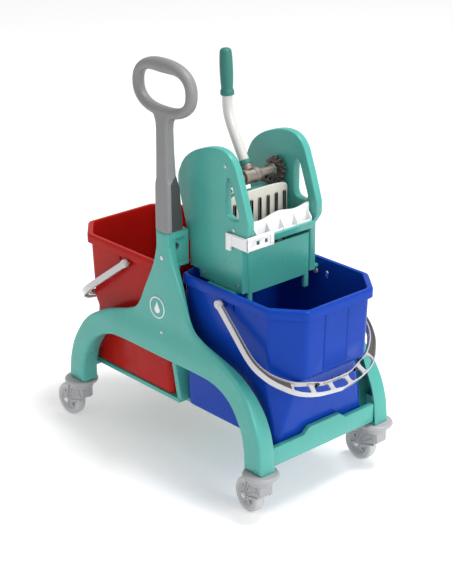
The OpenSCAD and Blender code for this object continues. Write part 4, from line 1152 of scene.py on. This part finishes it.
def buildWheel(i, name):
    place = castorPlace(i) @ Matrix.Translation((-38, 0, 38)) @ Matrix.Rotation(math.radians(90), 4, "X")
    half = [(4.1, 12), (8.5, 12), (9.5, 11), (10.5, 8), (13, 6.6), (20, 7.4), (23.5, 9.6), (24.6, 11),
            (26.4, 11), (27, 10.3), (28.95, 10.3)]
    profile = half + [(r, -z) for r, z in half[::-1]] + [half[0]]
    bm = bmesh.new()
    spun(bm, profile, 64, place)
    for sign in (-1, 1):
        for k in range(6):
            made = addBox(bm, (10.4, -1.3, min(sign * 4, sign * 9.4)), (23.6, 1.3, max(sign * 4, sign * 9.4)))
            turn = Matrix.Rotation(math.radians(60 * k + 12), 4, "Z")
            bmesh.ops.transform(bm, matrix=place @ turn, verts=made)
    finishPiece(name + "_wheelLook", bm, name + "_roller", "wheel_grey", (name + "_wheel",), 0, sharp=34)
    half = [(29.02, 10.6), (33.6, 10.9), (35.4, 10.2), (36.9, 8.6), (37.7, 6.2), (38, 3), (38, 0)]
    profile = half + [(r, -z) for r, z in half[-2::-1]] + [half[0]]
    bm = bmesh.new()
    spun(bm, profile, 80, place)
    finishPiece(name + "_tyreLook", bm, name + "_roller", "tyre", (name + "_tyre",), 0, sharp=50)


def buildAxle(i, name):
    bm = bmesh.new()
    addRod(bm, (-38, -17.6, 38), (-38, 17.6, 38), 3.95, 32)
    for sign in (-1, 1):
        addRod(bm, (-38, sign * 17.4, 38), (-38, sign * 18.6, 38), 5.6, 32, 4.4)
    bmesh.ops.transform(bm, matrix=castorPlace(i), verts=bm.verts)
    finishPiece(name + "_axleLook", bm, name + "_castor", "steel", (name + "_axle",), 0, sharp=34)


for i, name in enumerate(castorNames):
    buildFork(i, name)
    buildDisc(i, name)
    buildWheel(i, name)
    buildAxle(i, name)
    stem = frame["nodes"][name + "_stem"]
    stem.data.materials.clear()
    stem.data.materials.append(finishes["steel"])
print("castors")

# ---- floor, light and camera ----

view = {"place": (2.25175, -1.99426, 1.61282), "azimuth": 48.35, "elevation": 22.66, "roll": -0.39,
        "lens": 93.39}


def buildStage():
    bm = bmesh.new()
    bmesh.ops.create_grid(bm, x_segments=2, y_segments=2, size=30)
    mesh = bpy.data.meshes.new("floor")
    bm.to_mesh(mesh)
    bm.free()
    floor = bpy.data.objects.new("floor", mesh)
    scene.collection.objects.link(floor)
    paper = bpy.data.materials.new("palePaper")
    paper.use_nodes = True
    shader = paper.node_tree.nodes["Principled BSDF"]
    shader.inputs["Base Color"].default_value = (0.94, 0.94, 0.94, 1)
    shader.inputs["Emission Color"].default_value = (1, 1, 1, 1)
    shader.inputs["Emission Strength"].default_value = 0.21
    shader.inputs["Roughness"].default_value = 0.9
    shader.inputs["Specular IOR Level"].default_value = 0.1
    mesh.materials.append(paper)
    world = bpy.data.worlds.new("studio")
    scene.world = world
    world.use_nodes = True
    world.node_tree.nodes["Background"].inputs["Color"].default_value = (1, 1, 1, 1)
    world.node_tree.nodes["Background"].inputs["Strength"].default_value = 0.66
    for name, place, size, power in (
            ("key", (0.9, 0.9, 4.2), 1.3, 120), ("side", (3.4, 0.2, 1.9), 1.6, 48),
            ("front", (0.6, -3.6, 2.2), 2.0, 3)):
        lamp = bpy.data.lights.new(name, "AREA")
        lamp.energy = power
        lamp.size = size
        light = bpy.data.objects.new(name, lamp)
        light.location = place
        light.rotation_euler = (Vector((0, 0, 0.4)) - Vector(place)).to_track_quat("-Z", "Y").to_euler()
        scene.collection.objects.link(light)


def buildCamera():
    a, e, r = (math.radians(view[k]) for k in ("azimuth", "elevation", "roll"))
    right = Vector((math.cos(a), math.sin(a), 0))
    back = Vector((math.sin(a) * math.cos(e), -math.cos(a) * math.cos(e), math.sin(e)))
    up = back.cross(right)
    tiltedRight = right * math.cos(r) + up * math.sin(r)
    tiltedUp = up * math.cos(r) - right * math.sin(r)
    lens = bpy.data.cameras.new("camera")
    lens.lens = view["lens"]
    lens.sensor_width = 36
    lens.clip_end = 100
    lens.dof.use_dof = False
    camera = bpy.data.objects.new("camera", lens)
    turn = Matrix((tiltedRight, tiltedUp, back)).transposed().to_4x4()
    camera.matrix_world = Matrix.Translation(view["place"]) @ turn
    scene.collection.objects.link(camera)
    scene.camera = camera


buildStage()
buildCamera()
scene.view_settings.view_transform = "Standard"
print("stage and camera")

bpy.context.view_layer.update()
